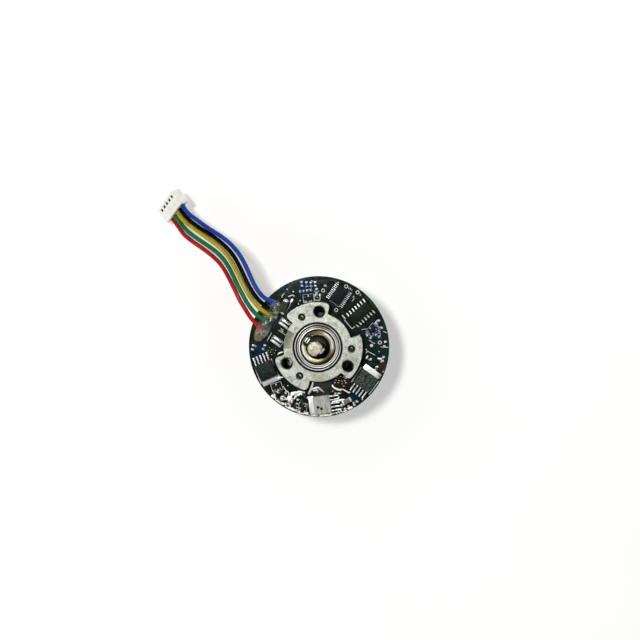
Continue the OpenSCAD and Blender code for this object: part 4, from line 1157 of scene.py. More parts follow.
class MOTOR_OT_bracket(Step, bpy.types.Operator):
    """Make the cast bracket with its threads and the rivets that hold the board"""

    bl_idname = "motor.bracket"
    bl_label = "Bracket and rivets"

    def execute(self, context):
        eased_copy("bracket_casting", "mounting_bracket", cast_aluminium(), sizes().casting_edge)
        thread = self.thread(BOARD_TOP + 0.4 * MM, -0.8 * MM, sizes().thread_pitch)
        threads = [moved(thread, hole) for hole, _ in around(3, BOLT_RING_R, 90)]
        piece("bolt_threads", threads, turned_metal("cut_thread"))
        rivets = [moved(self.rivet(solid), solid.middle) for solid in solids("board_rivets")]
        piece("rivets", rivets, rivet_aluminium(), "board_rivets")
        return {"FINISHED"}

    def thread(self, bottom, top, pitch):
        """A small ridge that climbs a hole's wall: its middle goes round at the core radius as it rises."""
        turns = (top - bottom) / pitch
        a = np.linspace(0, TAU * turns, int(32 * turns))
        core = BOLTS["hole_r_mm"] * MM
        path = np.column_stack([core * np.cos(a), core * np.sin(a), bottom + pitch * a / TAU])
        ridge = np.array([(-0.02, -0.26), (0.10, -0.04), (0.10, 0.04), (-0.02, 0.26)]) * MM
        return carry(ridge, path)

    def rivet(self, solid):
        """A turned rivet: an upset tail, a shank, and a head whose middle stands up out of a rolled rim."""
        top, tail, shank, rim = solid.high, solid.low, 1.0 * MM, 1.12 * MM
        line = [
            (0, tail), (1.3 * MM, tail), (1.3 * MM, BOARD_UNDER), (shank, BOARD_UNDER),
            (shank, top - 0.6 * MM), (rim, top - 0.6 * MM), (rim, top - 0.2 * MM),
            (0.62 * MM, top - 0.3 * MM), (0.46 * MM, top), (0, top),
        ]
        return turned_line(line, [0, 0.2, 0, 0, 0, 0.05, 0.1, 0.08, 0.12, 0], 40, False)


# Places on the board are shares of its radius and angles in degrees. Printed lines: their width in
# millimetres and the places that they run through
LEGEND_LINES = [
    (0.3, [(0.96, -159.5), (0.98, -145)]), (0.3, [(0.7, -163.5), (0.71, -149.5), (0.7, -142), (0.77, -142)]),
    (0.3, [(0.67, -23), (0.68, -44.5)]), (0.3, [(0.98, -27), (0.98, -41)]), (0.4, [(0.56, 55.5), (0.55, 48)]),
    (0.25, [(0.53, 48.5), (0.54, 30.5), (0.59, 31.5)]), (0.3, [(0.68, 78.5), (0.64, 65)]),
    (0.2, [(0.95, 65), (0.92, 64.5)]), (0.2, [(0.95, 63.5), (0.92, 63)]), (0.2, [(0.94, 62), (0.92, 61.5)]),
    (0.2, [(0.88, 57), (0.85, 57.5)]), (0.2, [(0.86, 55.5), (0.83, 56)]), (0.2, [(0.83, 55.5), (0.8, 56)]),
    (0.2, [(0.96, 53.5), (0.93, 53)]), (0.2, [(0.66, 24), (0.73, 23)]), (0.2, [(0.72, 10), (0.8, 5.5)]),
    (0.2, [(0.88, 2.5), (0.99, 2)]), (0.2, [(0.94, 16), (0.99, 14)]), (0.3, [(0.74, 18), (0.75, 14.5)]),
    (0.22, [(0.69, 17), (0.74, 20), (0.8, 15.5), (0.76, 12), (0.69, 17)]),
    (0.25, [(0.88, 22.5), (0.93, 18.5), (0.87, 16)]),
    (0.26, [(0.67, 136.5), (0.77, 121), (0.71, 114.5), (0.68, 118)]),
    (0.35, [(0.83, 123.5), (0.82, 119), (0.75, 116)]), (0.3, [(0.72, 126), (0.69, 131)]),
    (0.26, [(0.67, 0), (0.69, -2.5), (0.68, -5)]), (0.2, [(0.68, -2), (0.81, -6)]),
    (0.3, [(0.87, 129), (0.89, 128), (0.9, 125)]),
    (0.25, [(0.9, 100), (0.93, 99.5), (0.94, 98), (0.92, 96.5)]),
    (0.22, [(0.66, 110), (0.73, 110), (0.73, 106.5), (0.66, 106.5), (0.66, 110)]),
    (0.22, [(0.65, 104), (0.72, 104), (0.72, 100.5), (0.65, 100.5), (0.65, 104)]),
    (0.25, [(0.66, 97), (0.74, 97), (0.74, 90.5), (0.66, 90.5), (0.66, 97)]),
    (0.2, [(0.8, 96.5), (0.78, 96.5), (0.78, 92), (0.8, 92)]),
    (0.2, [(0.86, 87), (0.88, 87), (0.88, 85), (0.86, 85), (0.86, 87)]), (0.2, [(0.62, 160), (0.5, 163)]),
    (0.2, [(0.6, 156.5), (0.55, 157.5)]), (0.2, [(0.59, 158.5), (0.54, 160)]),
    (0.2, [(0.7, 166), (0.74, 176)]),
]
# Test points and plated holes with a printed ring
RING_PLACES = [(0.8, 87.5), (0.94, 67.5), (0.95, 56.5), (0.58, 66.5), (0.87, 6.5), (0.87, 14)]
# Small plated holes
VIA_PLACES = [
    (0.95, 75), (0.6, 18), (0.86, -2), (0.78, -14), (0.92, 44), (0.75, 152), (0.86, 117), (0.93, 121),
    (0.66, -70), (0.62, -112), (0.71, -126), (0.96, -78), (0.97, -48), (0.9, 182),
]
# Filled plated holes that carry current through the board, wide ones and narrow ones
WIDE_FILLED_VIAS = [
    (0.5, -57), (0.52, -51.5), (0.56, -47.5), (0.53, -60.5), (0.56, -56.5), (0.59, -53), (0.59, -46.5),
    (0.58, -59), (0.62, -55.5), (0.66, -55), (0.61, -50), (0.56, -63.5), (0.64, -50.5),
]
FILLED_VIAS = [
    (0.7, -176.5), (0.67, -174), (0.62, -172.5), (0.72, -173.5), (0.69, -171), (0.64, -169.5), (0.74, -171.5),
    (0.68, -168),
]
# Beads of solder: their width in millimetres and the places that they run through
SOLDER_BEADS = [
    (1.0, [(0.51, -97), (0.63, -98.5), (0.69, -100)]),
    (0.8, [(0.65, -100), (0.61, -96), (0.58, -89), (0.61, -85), (0.65, -81)]),
    (0.6, [(0.63, -95), (0.62, -90), (0.65, -89)]),
    (0.9, [(0.57, -68), (0.62, -67), (0.68, -61.5), (0.69, -58)]),
    (0.6, [(0.69, -58), (0.77, -54.5), (0.78, -52.5)]),
    (0.8, [(0.81, -75.5), (0.81, -70.5), (0.83, -62.5), (0.89, -59.5)]), (0.8, [(0.7, -68)]),
    (0.4, [(0.71, -66), (0.73, -62)]), (0.8, [(0.77, -66)]), (0.8, [(0.87, -66), (0.91, -67)]),
    (0.9, [(0.94, -61)]), (0.9, [(0.96, -56)]),
    (0.35, [(0.76, -130.5), (0.78, -125), (0.82, -122), (0.88, -123)]),
    (0.45, [(0.78, -124.5), (0.79, -120.5), (0.86, -119.5), (0.95, -123)]), (0.6, [(0.85, -131)]),
    (0.45, [(0.91, -134)]), (0.6, [(0.96, -130)]), (0.6, [(0.92, -124.5), (0.88, -124), (0.87, -120.5)]),
    (0.7, [(0.97, -124)]), (0.7, [(0.97, -120.5)]), (1.0, [(0.76, -114.5), (0.7, -111.5), (0.68, -104)]),
    (0.45, [(0.84, -106.5)]), (0.45, [(0.86, -103)]), (0.5, [(0.92, -107.5)]), (0.45, [(0.94, -105.5)]),
    (0.5, [(0.92, -102)]), (0.45, [(0.84, -100.5)]), (0.5, [(0.96, -102.5)]), (0.45, [(0.97, -100)]),
    (1.0, [(0.75, -101), (0.72, -96.5)]), (0.9, [(0.79, -97), (0.89, -95.5), (0.96, -93)]),
    (0.7, [(0.82, -141.5), (0.75, -140.5), (0.67, -137.5)]),
    (0.6, [(0.6, -166.5), (0.56, -168.5), (0.51, -169)]), (0.5, [(0.69, -12), (0.71, -10.5), (0.76, -12.5)]),
    (0.8, [(0.85, -8.5), (0.9, -8.5), (0.92, -8)]), (0.6, [(0.91, -11)]), (0.5, [(0.98, -18.5)]),
    (0.9, [(0.86, 24.5), (0.94, 26.5)]), (0.5, [(0.69, 102.5)]), (0.6, [(0.7, 93.5)]), (0.35, [(0.69, 108)]),
    (0.6, [(0.96, -112), (0.97, -106)]), (0.6, [(0.97, -117)]),
]
# Lumps of dark flux and resin
DARK_BEADS = [
    (0.8, [(0.89, -119), (0.89, -117)]), (0.7, [(0.84, -113)]), (1.2, [(0.71, -106), (0.75, -101.5)]),
    (1.2, [(0.86, -109), (0.95, -109.5)]), (1.2, [(0.79, -106), (0.85, -104.5)]),
    (1.0, [(0.89, -100), (0.9, -104)]), (0.8, [(0.96, -96)]), (0.9, [(0.87, -98)]),
    (1.3, [(0.84, -134), (0.8, -131)]), (1.0, [(0.86, -127), (0.82, -128)]), (0.5, [(0.97, -72)]),
    (0.5, [(0.97, -67)]), (0.5, [(0.97, -79)]), (0.4, [(0.98, -63)]), (0.9, [(0.8, -122.5), (0.84, -121)]),
]
# Tan lumps of old flux
TAN_BEADS = [(0.8, [(0.9, -116.5), (0.89, -114.5)]), (0.7, [(0.85, -16.5), (0.89, -19)])]
# Outline of the board's bare tinned area
TINNED_AREA = [
    (0.76, -119), (0.71, -114), (0.68, -108), (0.68, -103), (0.72, -106), (0.76, -111), (0.84, -113),
    (0.95, -113), (0.96, -118), (0.87, -120),
]
# Speckled copper along the rim: from one angle to another at a share of the radius, and its width
RIM_BANDS = [(-132, -97, 0.965, 0.9), (-97, -56, 0.975, 0.8)]
# Tracks under the mask: their width in millimetres and the places that they run through
TRACKS = [
    (0.5, [(0.975, 24), (0.97, 8), (0.965, -8), (0.975, -22)]), (0.35, [(0.9, 3), (0.905, -7), (0.93, -14)]),
    (0.3, [(0.8, 9), (0.9, 11.5), (0.985, 13)]), (0.3, [(0.72, 5), (0.8, 6), (0.95, 1)]),
    (0.4, [(0.93, 98), (0.955, 84), (0.965, 76)]), (0.3, [(0.62, 64), (0.6, 54), (0.52, 50)]),
    (0.35, [(0.7, 88), (0.83, 84), (0.97, 86)]), (0.6, [(0.98, 50), (0.975, 36)]),
    (0.5, [(0.78, 142), (0.7, 150), (0.7, 160)]), (0.7, [(0.88, 122), (0.975, 116), (0.98, 104)]),
    (0.8, [(0.6, -176), (0.72, -172)]), (1.2, [(0.64, -86), (0.62, -72), (0.56, -62)]),
    (0.5, [(0.97, -150), (0.98, -136), (0.96, -126)]), (0.9, [(0.7, -20), (0.8, -14), (0.95, -18)]),
]


class MOTOR_OT_board(Step, bpy.types.Operator):
    """Make the driver board with its tracks, bare copper, plated holes and printed lines"""

    bl_idname = "motor.board"
    bl_label = "Driver board"

    def execute(self, context):
        slot, tinned, up = "board_laminate", "tinned_metal", sizes().track_height
        eased_copy("board", "circuit_board", solder_mask(), 0.08 * MM)
        tracks = [ribbon(board_line(places, MM), width * MM, up) for width, places in TRACKS]
        piece("tracks", tracks, covered_copper())
        lines = [ribbon(board_line(places), width * MM, 2 * up) for width, places in LEGEND_LINES]
        loop = washer(0.68 * MM, 0.42 * MM, 2 * up, 24)
        lines += [set_down(loop, on_board(*place)) for place in RING_PLACES]
        framed = solids("small_transistors") + solids("shunt_resistors")
        lines += [self.outline(solid, up) for solid in framed]
        lines.append(set_down(dome(0.56 * MM, 3 * up, 20), on_board(0.75, 3.9)))
        piece("legend", lines, legend_ink())
        rim = washer(0.2 * MM, 0.1 * MM, up, 16)
        rims = [set_down(rim, on_board(*place)) for place in VIA_PLACES]
        piece("bare_pads", rims, tin("tinned_copper"))
        dots = []
        for places, length, turn in ((WIDE_FILLED_VIAS, 0.75 * MM, -0.2), (FILLED_VIAS, 0.36 * MM, 0.0)):
            dot = stretched(dome(0.5, 1.0, 14, 4), length, 0.36 * MM, 2 * up)
            dots += [set_down(dot, on_board(*place), turn) for place in places]
        piece("filled_vias", dots, bare_copper())
        piece("solder_beads", self.beads(SOLDER_BEADS), tin("bead_solder"))
        piece("flux_beads", self.beads(DARK_BEADS), flux())
        bands = [ribbon([on_board(share, a) for a in np.linspace(start, end, 24)], width * MM, 2 * up)
                 for start, end, share, width in RIM_BANDS]
        piece("rim_copper", bands + [self.area(TINNED_AREA, up)], rim_tin())
        piece("old_flux", self.beads(TAN_BEADS), ceramic("tan_flux"))
        return {"FINISHED"}

    def beads(self, table):
        """Beads along lines of places, half sunk in the board and drawn in at their ends as a root of the
        sine, or domes on single places."""
        shapes = []
        for width, places in table:
            radius = width * MM / 2
            if len(places) == 1:
                shapes.append(set_down(dome(radius, 0.7 * radius), on_board(*places[0])))
                continue
            line = curve_through([on_board(*place) for place in places])
            size = np.sin(np.linspace(0.2, math.pi - 0.2, len(line))) ** 0.4
            shapes.append(carry(circle(radius, 14, 0.7), np.insert(line, 2, BOARD_TOP, axis=1), size=size))
        return shapes

    def outline(self, solid, up):
        """A printed rectangle round a part."""
        path = box_outline(solid.length + 0.9 * MM, solid.width + 0.7 * MM, 0.1 * MM)
        return moved(ribbon(path, 0.14 * MM, 2 * up, closed=True), solid.middle, solid.turn)

    def area(self, places, up):
        """A patch of bare metal: its outline, raised a little and shrunk at the top."""
        outline = rounded([on_board(*place) for place in places], 0.3 * MM)
        middle = outline.mean(0)
        shrunk = middle + 0.97 * (outline - middle)
        return tower([outline, outline, shrunk], [BOARD_TOP, BOARD_TOP + 2 * up, BOARD_TOP + 3 * up])


def bent_lead(reach, height, width, thickness):
    """A lead bent twice: level out of its body, down a slope, and level along the board."""
    half = thickness / 2
    line = [(0, height - half), (0.36 * reach, height - half), (0.6 * reach, half), (reach, half)]
    line = rounded(line, 0.9 * thickness, closed=False)
    return carry(box_outline(width, thickness, 0.25 * thickness, 2), np.insert(line, 1, 0, axis=1))


# A chip's feet: how thick its leads are, the share that they take of the CAD leads' width, each pad's length,
# width and height as shares of the lead's length and width and of a track's height, the solder's as shares of
# the lead's length, width and thickness, and how far out along the lead the solder lies
Feet = namedtuple("Feet", "thickness slim pad solder shift")
FINE_FEET = Feet(0.2 * MM, 1.0, (0.75, 1.1, 1), (0.62, 1.0, 0.7), 0.14)
POWER_FEET = Feet(0.5 * MM, 0.64, (0.62, 0.9, 2), (0.5, 0.8, 0.8), 0.0)


def chip_feet(leads, ways_out, feet):
    """Leads as a chip's CAD leads stand, and the pads with a little solder under their toes."""
    shapes, pads = [], []
    for lead, out in zip(leads, ways_out):
        run = axis(out) * lead.length
        toe = lead.middle + 0.3 * run
        shape = bent_lead(lead.length, lead.high - BOARD_TOP, feet.slim * lead.width, feet.thickness)
        shapes.append(set_down(shape, lead.middle - run / 2, out))
        full = lead.length, lead.width, sizes().track_height
        length, width, height = (share * size for share, size in zip(feet.pad, full))
        pads.append(set_down(block(length, width, 0, height), toe, out))
        full = lead.length, lead.width, feet.thickness
        solder = stretched(dome(0.5, 1.0, 12, 4), *(share * size for share, size in zip(feet.solder, full)))
        pads.append(set_down(solder, toe + feet.shift * run, out))
    return shapes, pads


def dimple(radius):
    """A shallow dished mark on a moulded face, with a fine raised rim."""
    profile = np.array([(0, 0.004), (0.75, 0.006), (0.9, 0.03), (1.0, 0.0)]) * [radius, MM]
    return lathe(profile, 24, closed=False)


class MOTOR_OT_power_chips(Step, bpy.types.Operator):
    """Make the three power chips with their tabs and leads"""

    bl_idname = "motor.power_chips"
    bl_label = "Power chips"

    def execute(self, context):
        bodies, tabs, pads, marks = [], [], [], []
        for k, chip in enumerate(solids("power_chip_bodies")):
            tab = min(solids("power_chip_tabs"), key=lambda other: np.linalg.norm(other.middle - chip.middle))
            turn = math.atan2(*(tab.middle - chip.middle)[::-1])
            long, wide = sorted((chip.length, chip.width))
            body = block(long, wide, chip.low, chip.high, edge=0.14, corner=0.3, draft=0.12, waist=0.35)
            bodies.append(moved(body, chip.middle, turn))
            spot = chip.middle + 0.24 * long * axis(turn) + 0.1 * wide * axis(turn + math.pi / 2)
            marks.append(moved(dimple(0.55 * MM), (*spot, chip.high)))
            plate = (tab.width, tab.length)
            if abs(axis(tab.turn) @ axis(turn)) > 0.7:
                plate = plate[::-1]
            tabs.append(moved(block(*plate, tab.low, tab.high, edge=0.06, corner=0.35), tab.middle, turn))
            pad = block(1.9 * MM, 1.06 * max(plate), 0, 0.12 * MM, edge=0.05, corner=0.2)
            pads.append(set_down(pad, chip.middle + axis(turn) * (long / 2 + 0.85 * MM), turn))
            own = [lead for lead in solids("power_chip_leads")
                   if np.linalg.norm(lead.middle - chip.middle) < 1.2 * wide]
            leads, lead_pads = chip_feet(own, [turn + math.pi] * len(own), POWER_FEET)
            piece(f"power_leads_{k + 1}", leads, tin("lead_tin"), "power_chip_leads")
            pads += lead_pads
        piece("power_bodies", bodies, power_resin(), "power_chip_bodies")
        piece("power_marks", marks, resin("mark_resin"))
        piece("power_tabs", tabs, tin("tab_tin"), "power_chip_tabs")
        piece("power_pads", pads, tin("tinned_copper"))
        return {"FINISHED"}


class MOTOR_OT_logic_chips(Step, bpy.types.Operator):
    """Make the controller and the gate chip with their bent leads"""

    bl_idname = "motor.logic_chips"
    bl_label = "Controller and gate chip"

    def execute(self, context):
        pads, inset = [], 0.9 * MM
        for kind, epoxy in (("controller", "chip_resin"), ("logic_chip", "green_resin")):
            chip = solids(f"{kind}_body")[0]
            body = block(chip.length, chip.width, chip.low, chip.high, edge=0.08, corner=0.12, draft=0.1)
            body = moved(body, chip.middle, chip.turn)
            piece(f"{kind}_case", body, resin(epoxy), f"{kind}_body")
            corner = chip.middle - axis(chip.turn) * (chip.length / 2 - inset)
            corner = corner + axis(chip.turn + math.pi / 2) * (chip.width / 2 - inset)
            mark = moved(dimple(0.3 * MM), (*corner, chip.high))
            piece(f"{kind}_mark", mark, resin("mark_resin"))
            leads = solids(f"{kind}_leads")
            outs = [lead.turn if axis(lead.turn) @ (lead.middle - chip.middle) >= 0 else lead.turn + math.pi
                    for lead in leads]
            feet, lead_pads = chip_feet(leads, outs, FINE_FEET)
            piece(f"{kind}_feet", feet, tin("lead_tin"), f"{kind}_leads")
            pads += lead_pads
        piece("logic_pads", pads, tin("tinned_copper"))
        return {"FINISHED"}


def chip_part(solid, cap, across):
    """A two-ended chip part: its body, its two plated ends and the solder at their feet. The ends lie
    along the short sides, or along the long ones where across is asked."""
    length, width = (solid.width, solid.length) if across else (solid.length, solid.width)
    turn = solid.turn + (math.pi / 2 if across else 0)
    proud = 0.015 * MM
    body = block(length - 2 * proud, width, solid.low + proud, solid.high, edge=0.04, corner=0.05)
    end = block(cap, width + 2 * proud, solid.low, solid.high + proud, edge=0.06, corner=0.08)
    foot = dome(0.5, 1.0, 12, 4, sag=0.25)
    foot = stretched(foot, 0.75 * cap + 0.35 * MM, 1.1 * width, 0.55 * (solid.high - solid.low))
    ends, solder = [], []
    for side in (-1, 1):
        at = solid.middle + side * axis(turn) * (length - cap) / 2
        ends.append(moved(end, at, turn))
        solder.append(moved(foot, (*(at + side * axis(turn) * 0.5 * cap), solid.low), turn))
    return moved(body, solid.middle, turn), ends, solder


class MOTOR_OT_chip_parts(Step, bpy.types.Operator):
    """Make the small capacitors and resistors, the current shunts and the supply capacitor"""

    bl_idname = "motor.chip_parts"
    bl_label = "Capacitors and resistors"

    def execute(self, context):
        # Node, finish, width of its plated ends in millimetres, whether they lie along its long sides, slot
        kinds = [
            ("chip_capacitors", "capacitor_ceramic", 0.35, False, "capacitor_ceramic"),
            ("chip_resistors", "resistor_glaze", 0.3, False, "resistor_ceramic"),
            ("shunt_resistors", "shunt_glaze", 0.42, True, "resistor_ceramic"),
            ("supply_capacitor", "supply_ceramic", 0.5, False, "capacitor_ceramic"),
        ]
        ends, solder = [], []
        for node, finish, cap, across, slot in kinds:
            parts = [chip_part(solid, cap * MM, across) for solid in solids(node)]
            piece(node + "_bodies", [body for body, _, _ in parts], ceramic(finish), node)
            ends += [end for _, own, _ in parts for end in own]
            solder += [foot for _, _, own in parts for foot in own]
        piece("plated_ends", ends, tin("plated_tin"))
        piece("part_solder", solder, tin("joint_solder"))
        return {"FINISHED"}


class MOTOR_OT_small_chips(Step, bpy.types.Operator):
    """Make the transistors, the diode, the regulator and the rotor sensors under the board"""

    bl_idname = "motor.small_chips"
    bl_label = "Small packages"

    def execute(self, context):
        for node, legs, under in (("small_transistors", 0.9 * MM, False), ("hall_sensors", 0.7 * MM, True)):
            bodies, leads = [], []
            for solid in solids(node):
                height, width = solid.high - solid.low, solid.width - legs
                body = block(solid.length, width, 0.1 * MM, height, edge=0.06, corner=0.1, draft=0.07)
                for shapes, shape in ((bodies, body), (leads, self.three_leads(solid.length, width, height))):
                    shape = moved(shape, turn=-solid.turn if under else solid.turn)
                    at = (*solid.middle, solid.high if under else solid.low)
                    shapes.append(moved(upside_down(shape) if under else shape, at))
            piece(f"{node}_bodies", bodies, resin("chip_resin"), node)
            piece(f"{node}_feet", leads, tin("lead_tin"))
        self.diode()
        self.regulator()
        return {"FINISHED"}

    def three_leads(self, length, width, height):
        """The feet of a three-legged package: two on one side, one on the other, drawn from its seat."""
        lead = bent_lead(0.55 * MM, 0.55 * height, 0.4 * MM, 0.14 * MM)
        places, out = ((-0.33 * length, -1), (0.33 * length, -1), (0, 1)), width / 2 - 0.08 * MM
        return joined(moved(lead, (x, side * out), side * math.pi / 2) for x, side in places)

    def diode(self):
        """A block with a pressed strap folded under each end."""
        solid = solids("surge_diode")[0]
        bottom = solid.low + 0.35 * MM
        length = solid.length - 0.4 * MM
        body = block(length, solid.width, bottom, solid.high, edge=0.12, corner=0.2, draft=0.14)
        body = moved(body, solid.middle, solid.turn)
        piece("diode_case", body, resin("olive_resin"), "surge_diode")
        top = solid.low + 0.55 * (solid.high - solid.low)
        strap = block(0.3 * MM, 0.62 * solid.width, solid.low, top, edge=0.06)
        pad = stretched(dome(0.5, 1.0, 14, 5, sag=0.2), 1.5 * MM, 0.8 * solid.width, 0.7 * MM)
        straps = []
        for side in (-1, 1):
            end = solid.middle + side * axis(solid.turn) * (solid.length / 2 - 0.15 * MM)
            straps += [moved(strap, end, solid.turn), moved(pad, (*end, solid.low), solid.turn)]
        piece("diode_straps", straps, tin("joint_solder"))

    def regulator(self):
        """A block with one wide tab on one side and three legs on the other."""
        solid = solids("regulator")[0]
        width, bottom = solid.width - 0.8 * MM, solid.low + 0.05 * MM
        body = block(solid.length, width, bottom, solid.high, edge=0.06, corner=0.12, draft=0.08)
        body = moved(body, solid.middle, solid.turn)
        piece("regulator_case", body, resin("chip_resin"), "regulator")
        third = solid.length / 3
        legs = [(0.34 * solid.length, 0, 1), *((0.4 * MM, x * third, -1) for x in (-1, 0, 1))]
        tabs = [moved(block(wide, 1.0 * MM, 0, 0.3 * MM, edge=0.04), (x, side * width / 2))
                for wide, x, side in legs]
        shape = moved(joined(tabs), (*solid.middle, solid.low), solid.turn)
        piece("regulator_tabs", shape, tin("lead_tin"))


# Middle line of the glue over the wires' ends, in millimetres
GLUE_LINE = [(-15.0, 15.8), (-16.0, 13.2), (-17.6, 9.8), (-19.5, 6.4), (-21.3, 3.4), (-22.3, 0.9)]


class MOTOR_OT_joints(Step, bpy.types.Operator):
    """Solder the wires and the winding pins to the board and lay glue over the wires' ends"""

    bl_idname = "motor.joints"
    bl_label = "Solder and glue"

    def execute(self, context):
        blobs = []
        for solid in solids("solder_joints"):
            shape = dome(0.4 * solid.width, solid.high - solid.low, 20, 8, sag=0.45)
            blobs.append(moved(shape, (*solid.middle, solid.low)))
        solder = tin("joint_solder")
        piece("wire_joints", blobs, solder, "solder_joints")
        piece("bare_strands", [self.strands(path) for path in wire_paths().values()], solder)
        dress("phase_pins", solder)
        drops = [self.glue_body(), *(self.collar(path) for path in wire_paths().values())]
        glue = piece("glue", drops, hot_glue(), "wire_glue")
        skin = glue.modifiers.new("One skin", "REMESH")
        skin.mode = "VOXEL"
        skin.voxel_size = 0.16 * MM
        skin.use_smooth_shade = True
        soft = glue.modifiers.new("Soft", "SMOOTH")
        soft.factor = 0.6
        soft.iterations = 6
        return {"FINISHED"}

    def glue_body(self):
        """Glue laid along a line: half an ellipse across, whose radius and height follow the square root of
        1 less a cube along the line and swell with lumps, two products of slow waves."""
        radius, height, lumps = 2.4 * MM, 1.2 * MM, 0.16
        spine = curve_through(np.array(GLUE_LINE) * MM)
        u = np.linspace(0, 1, len(spine))[:, None]
        v = np.linspace(0, math.pi, 24)[None]
        swell = 1 + lumps * (np.sin(9 * u + 0.7) * np.cos(3 * v + 1) + 0.6 * np.sin(23 * u) * np.sin(4 * v))
        taper = np.sqrt(np.clip(1 - np.abs(2 * u - 1) ** 3, 0, 1))
        run = unit(np.gradient(spine, axis=0))
        side = np.column_stack([-run[:, 1], run[:, 0]])[:, None]
        across = radius * taper * swell * np.cos(v)
        rise = height * taper * swell * np.sin(v)
        flat = spine[:, None] + side * across[..., None]
        return grid(np.concatenate([flat, BOARD_TOP + rise[..., None]], axis=-1), False, True)

    def strands(self, path):
        """Seven tinned strands laid round each other, from inside the insulation to the joint."""
        run = unit(path[0] - path[3])
        line = path[0] + run * np.linspace(-0.6, 1.5, 12)[:, None] * MM
        line[:, 2] -= np.linspace(0, 0.45, 12) * MM
        side = unit(np.cross((0, 0, 1), run))
        rise = unit(np.cross(run, side))
        strand = circle(0.11 * MM, 8)
        shapes = [carry(strand, line)]
        for k in range(6):
            a = k * TAU / 6 + np.linspace(0, 1.4, 12)[:, None]
            shapes.append(carry(strand, line + 0.22 * MM * (side * np.cos(a) + rise * np.sin(a))))
        return joined(shapes)

    def collar(self, path):
        """Glue drawn a little way up a wire, thinning out along it."""
        line = path[:9] - [0, 0, 0.2 * MM]
        return carry(circle(WIRE_D / 2, 16), line, size=np.linspace(1.35, 0.8, len(line)))


def race_groove(ring_r, land, sign, z):
    """A groove's arc from land to land: a circle about the ball's middle, cut off at the land's radius."""
    reach = math.acos(min(1.0, abs(land - ring_r) / GROOVE_R))
    a = np.linspace(-reach, reach, 9)
    return np.column_stack([ring_r + sign * GROOVE_R * np.cos(a), z + sign * GROOVE_R * np.sin(a)])


class MOTOR_OT_bearings(Step, bpy.types.Operator):
    """Make the bearing tube and the two ball bearings"""

    bl_idname = "motor.bearings"
    bl_label = "Bearings"

    def execute(self, context):
        piece("tube", self.tube(), tube_steel(), "bearing_tube", sharp=30)
        dress("preload_washer", turned_metal("spring_steel"))
        for end in ("front", "rear"):
            self.bearing(end)
        return {"FINISHED"}

    def tube(self):
        """A turned tube: its rim, a groove, the collar rolled over the front bearing, the shoulder between
        the two bearings and the rear seat."""
        front, step = high("front_outer_race")[2], low("front_outer_race")[2]
        rear, bottom = high("rear_outer_race")[2], low("bearing_tube")[2]
        seat, narrow = BEARING_R + FIT, BEARING_R - 0.7 * MM
        groove, shoulder = front - 0.2 * MM, rear + 0.3 * MM
        line = [
            (TUBE_R, bottom), (TUBE_R, 0), (TUBE_R - 0.24 * MM, 0), (TUBE_R - 0.3 * MM, groove),
            (seat + 0.4 * MM, groove), (seat + 0.36 * MM, front + 0.12 * MM), (seat, front + 0.06 * MM),
            (seat, step), (narrow, step), (narrow, shoulder), (seat, shoulder), (seat, bottom),
        ]
        return turned_line(line, [0.3, 0.08, 0.08, 0.06, 0.06, 0.16, 0.12, 0, 0.15, 0.15, 0, 0.15], 160)

    def bearing(self, end):
        """Two turned races with grooves, the balls on their circle, and a shield on each side."""
        top, bottom = high(f"{end}_outer_race")[2], low(f"{end}_outer_race")[2]
        middle, ring_r = (top + bottom) / 2, (high(f"{end}_ball_cage")[0] + CAGE_BORE_R) / 2
        rim, seat = 0.32 * MM, high(f"{end}_bearing_shields")[0] + FIT
        step, land, outer_land, bore = 3.7 * MM, 3.9 * MM, 5.3 * MM, SHAFT_R + FIT
        under, over = bottom + 0.65 * MM, top - 0.65 * MM
        groove = race_groove(ring_r, outer_land, 1, middle)
        outer = [
            (seat + 0.2 * MM, top), (BEARING_R - rim, top), (BEARING_R, top - rim), (BEARING_R, bottom + rim),
            (BEARING_R - rim, bottom), (seat, bottom), (seat, under), (outer_land, under),
            *groove, (outer_land, over), (seat, over), (seat, top - SHIELD_DROP),
        ]
        flat = [0] * len(groove)
        outer = turned_line(outer, [0.05, 0.12, 0.12, 0.12, 0.12, 0.05, 0, 0, *flat, 0, 0, 0.05])
        piece(f"{end}_outer_ring", outer, race_steel(), f"{end}_outer_race", sharp=30)
        inner = [
            (bore, top), (bore, bottom), (step, bottom), (step, under), (land, under),
            *race_groove(ring_r, land, -1, middle), (land, over), (step, over), (step, top),
        ]
        inner = turned_line(inner, [0.2, 0.2, 0.1, 0, 0, *flat, 0, 0, 0.1])
        piece(f"{end}_inner_ring", inner, race_steel(), f"{end}_inner_race", "rotor", 30)
        balls = [moved(ball(BALL_R), (*at, middle)) for at, _ in around(BALL_COUNT, ring_r, 0)]
        body, node = f"{end}_ball_set", f"{end}_balls"
        piece(f"{end}_ball_ring", balls, turned_metal("ball_steel"), node, body)
        dress(f"{end}_ball_cage", turned_metal("cage_brass"))
        shade_smooth(NODES[f"{end}_ball_cage"].data)
        shield = self.shield(seat - FIT, step + 0.3 * MM)
        pair = [
            moved(shield, (0, 0, top - SHIELD_DROP)),
            moved(upside_down(shield), (0, 0, bottom + SHIELD_DROP)),
        ]
        piece(f"{end}_shields", pair, shield_steel(), f"{end}_bearing_shields", sharp=25)

    def shield(self, rim, lip):
        """A pressed shield: a flat rim, a shallow cone down towards the shaft and a small lip."""
        sheet, half = 0.14 * MM, 0.1 * MM
        line = [
            (rim, -half), (rim - 0.16 * MM, -half), (rim - 0.3 * MM, half), (rim - 0.55 * MM, half),
            (lip + 0.3 * MM, -half), (lip + 0.12 * MM, -half), (lip, 0),
        ]
        line = rounded(line, 0.09 * MM, closed=False)
        return lathe(np.concatenate([line, line[::-1] - [0, sheet]]), 128)


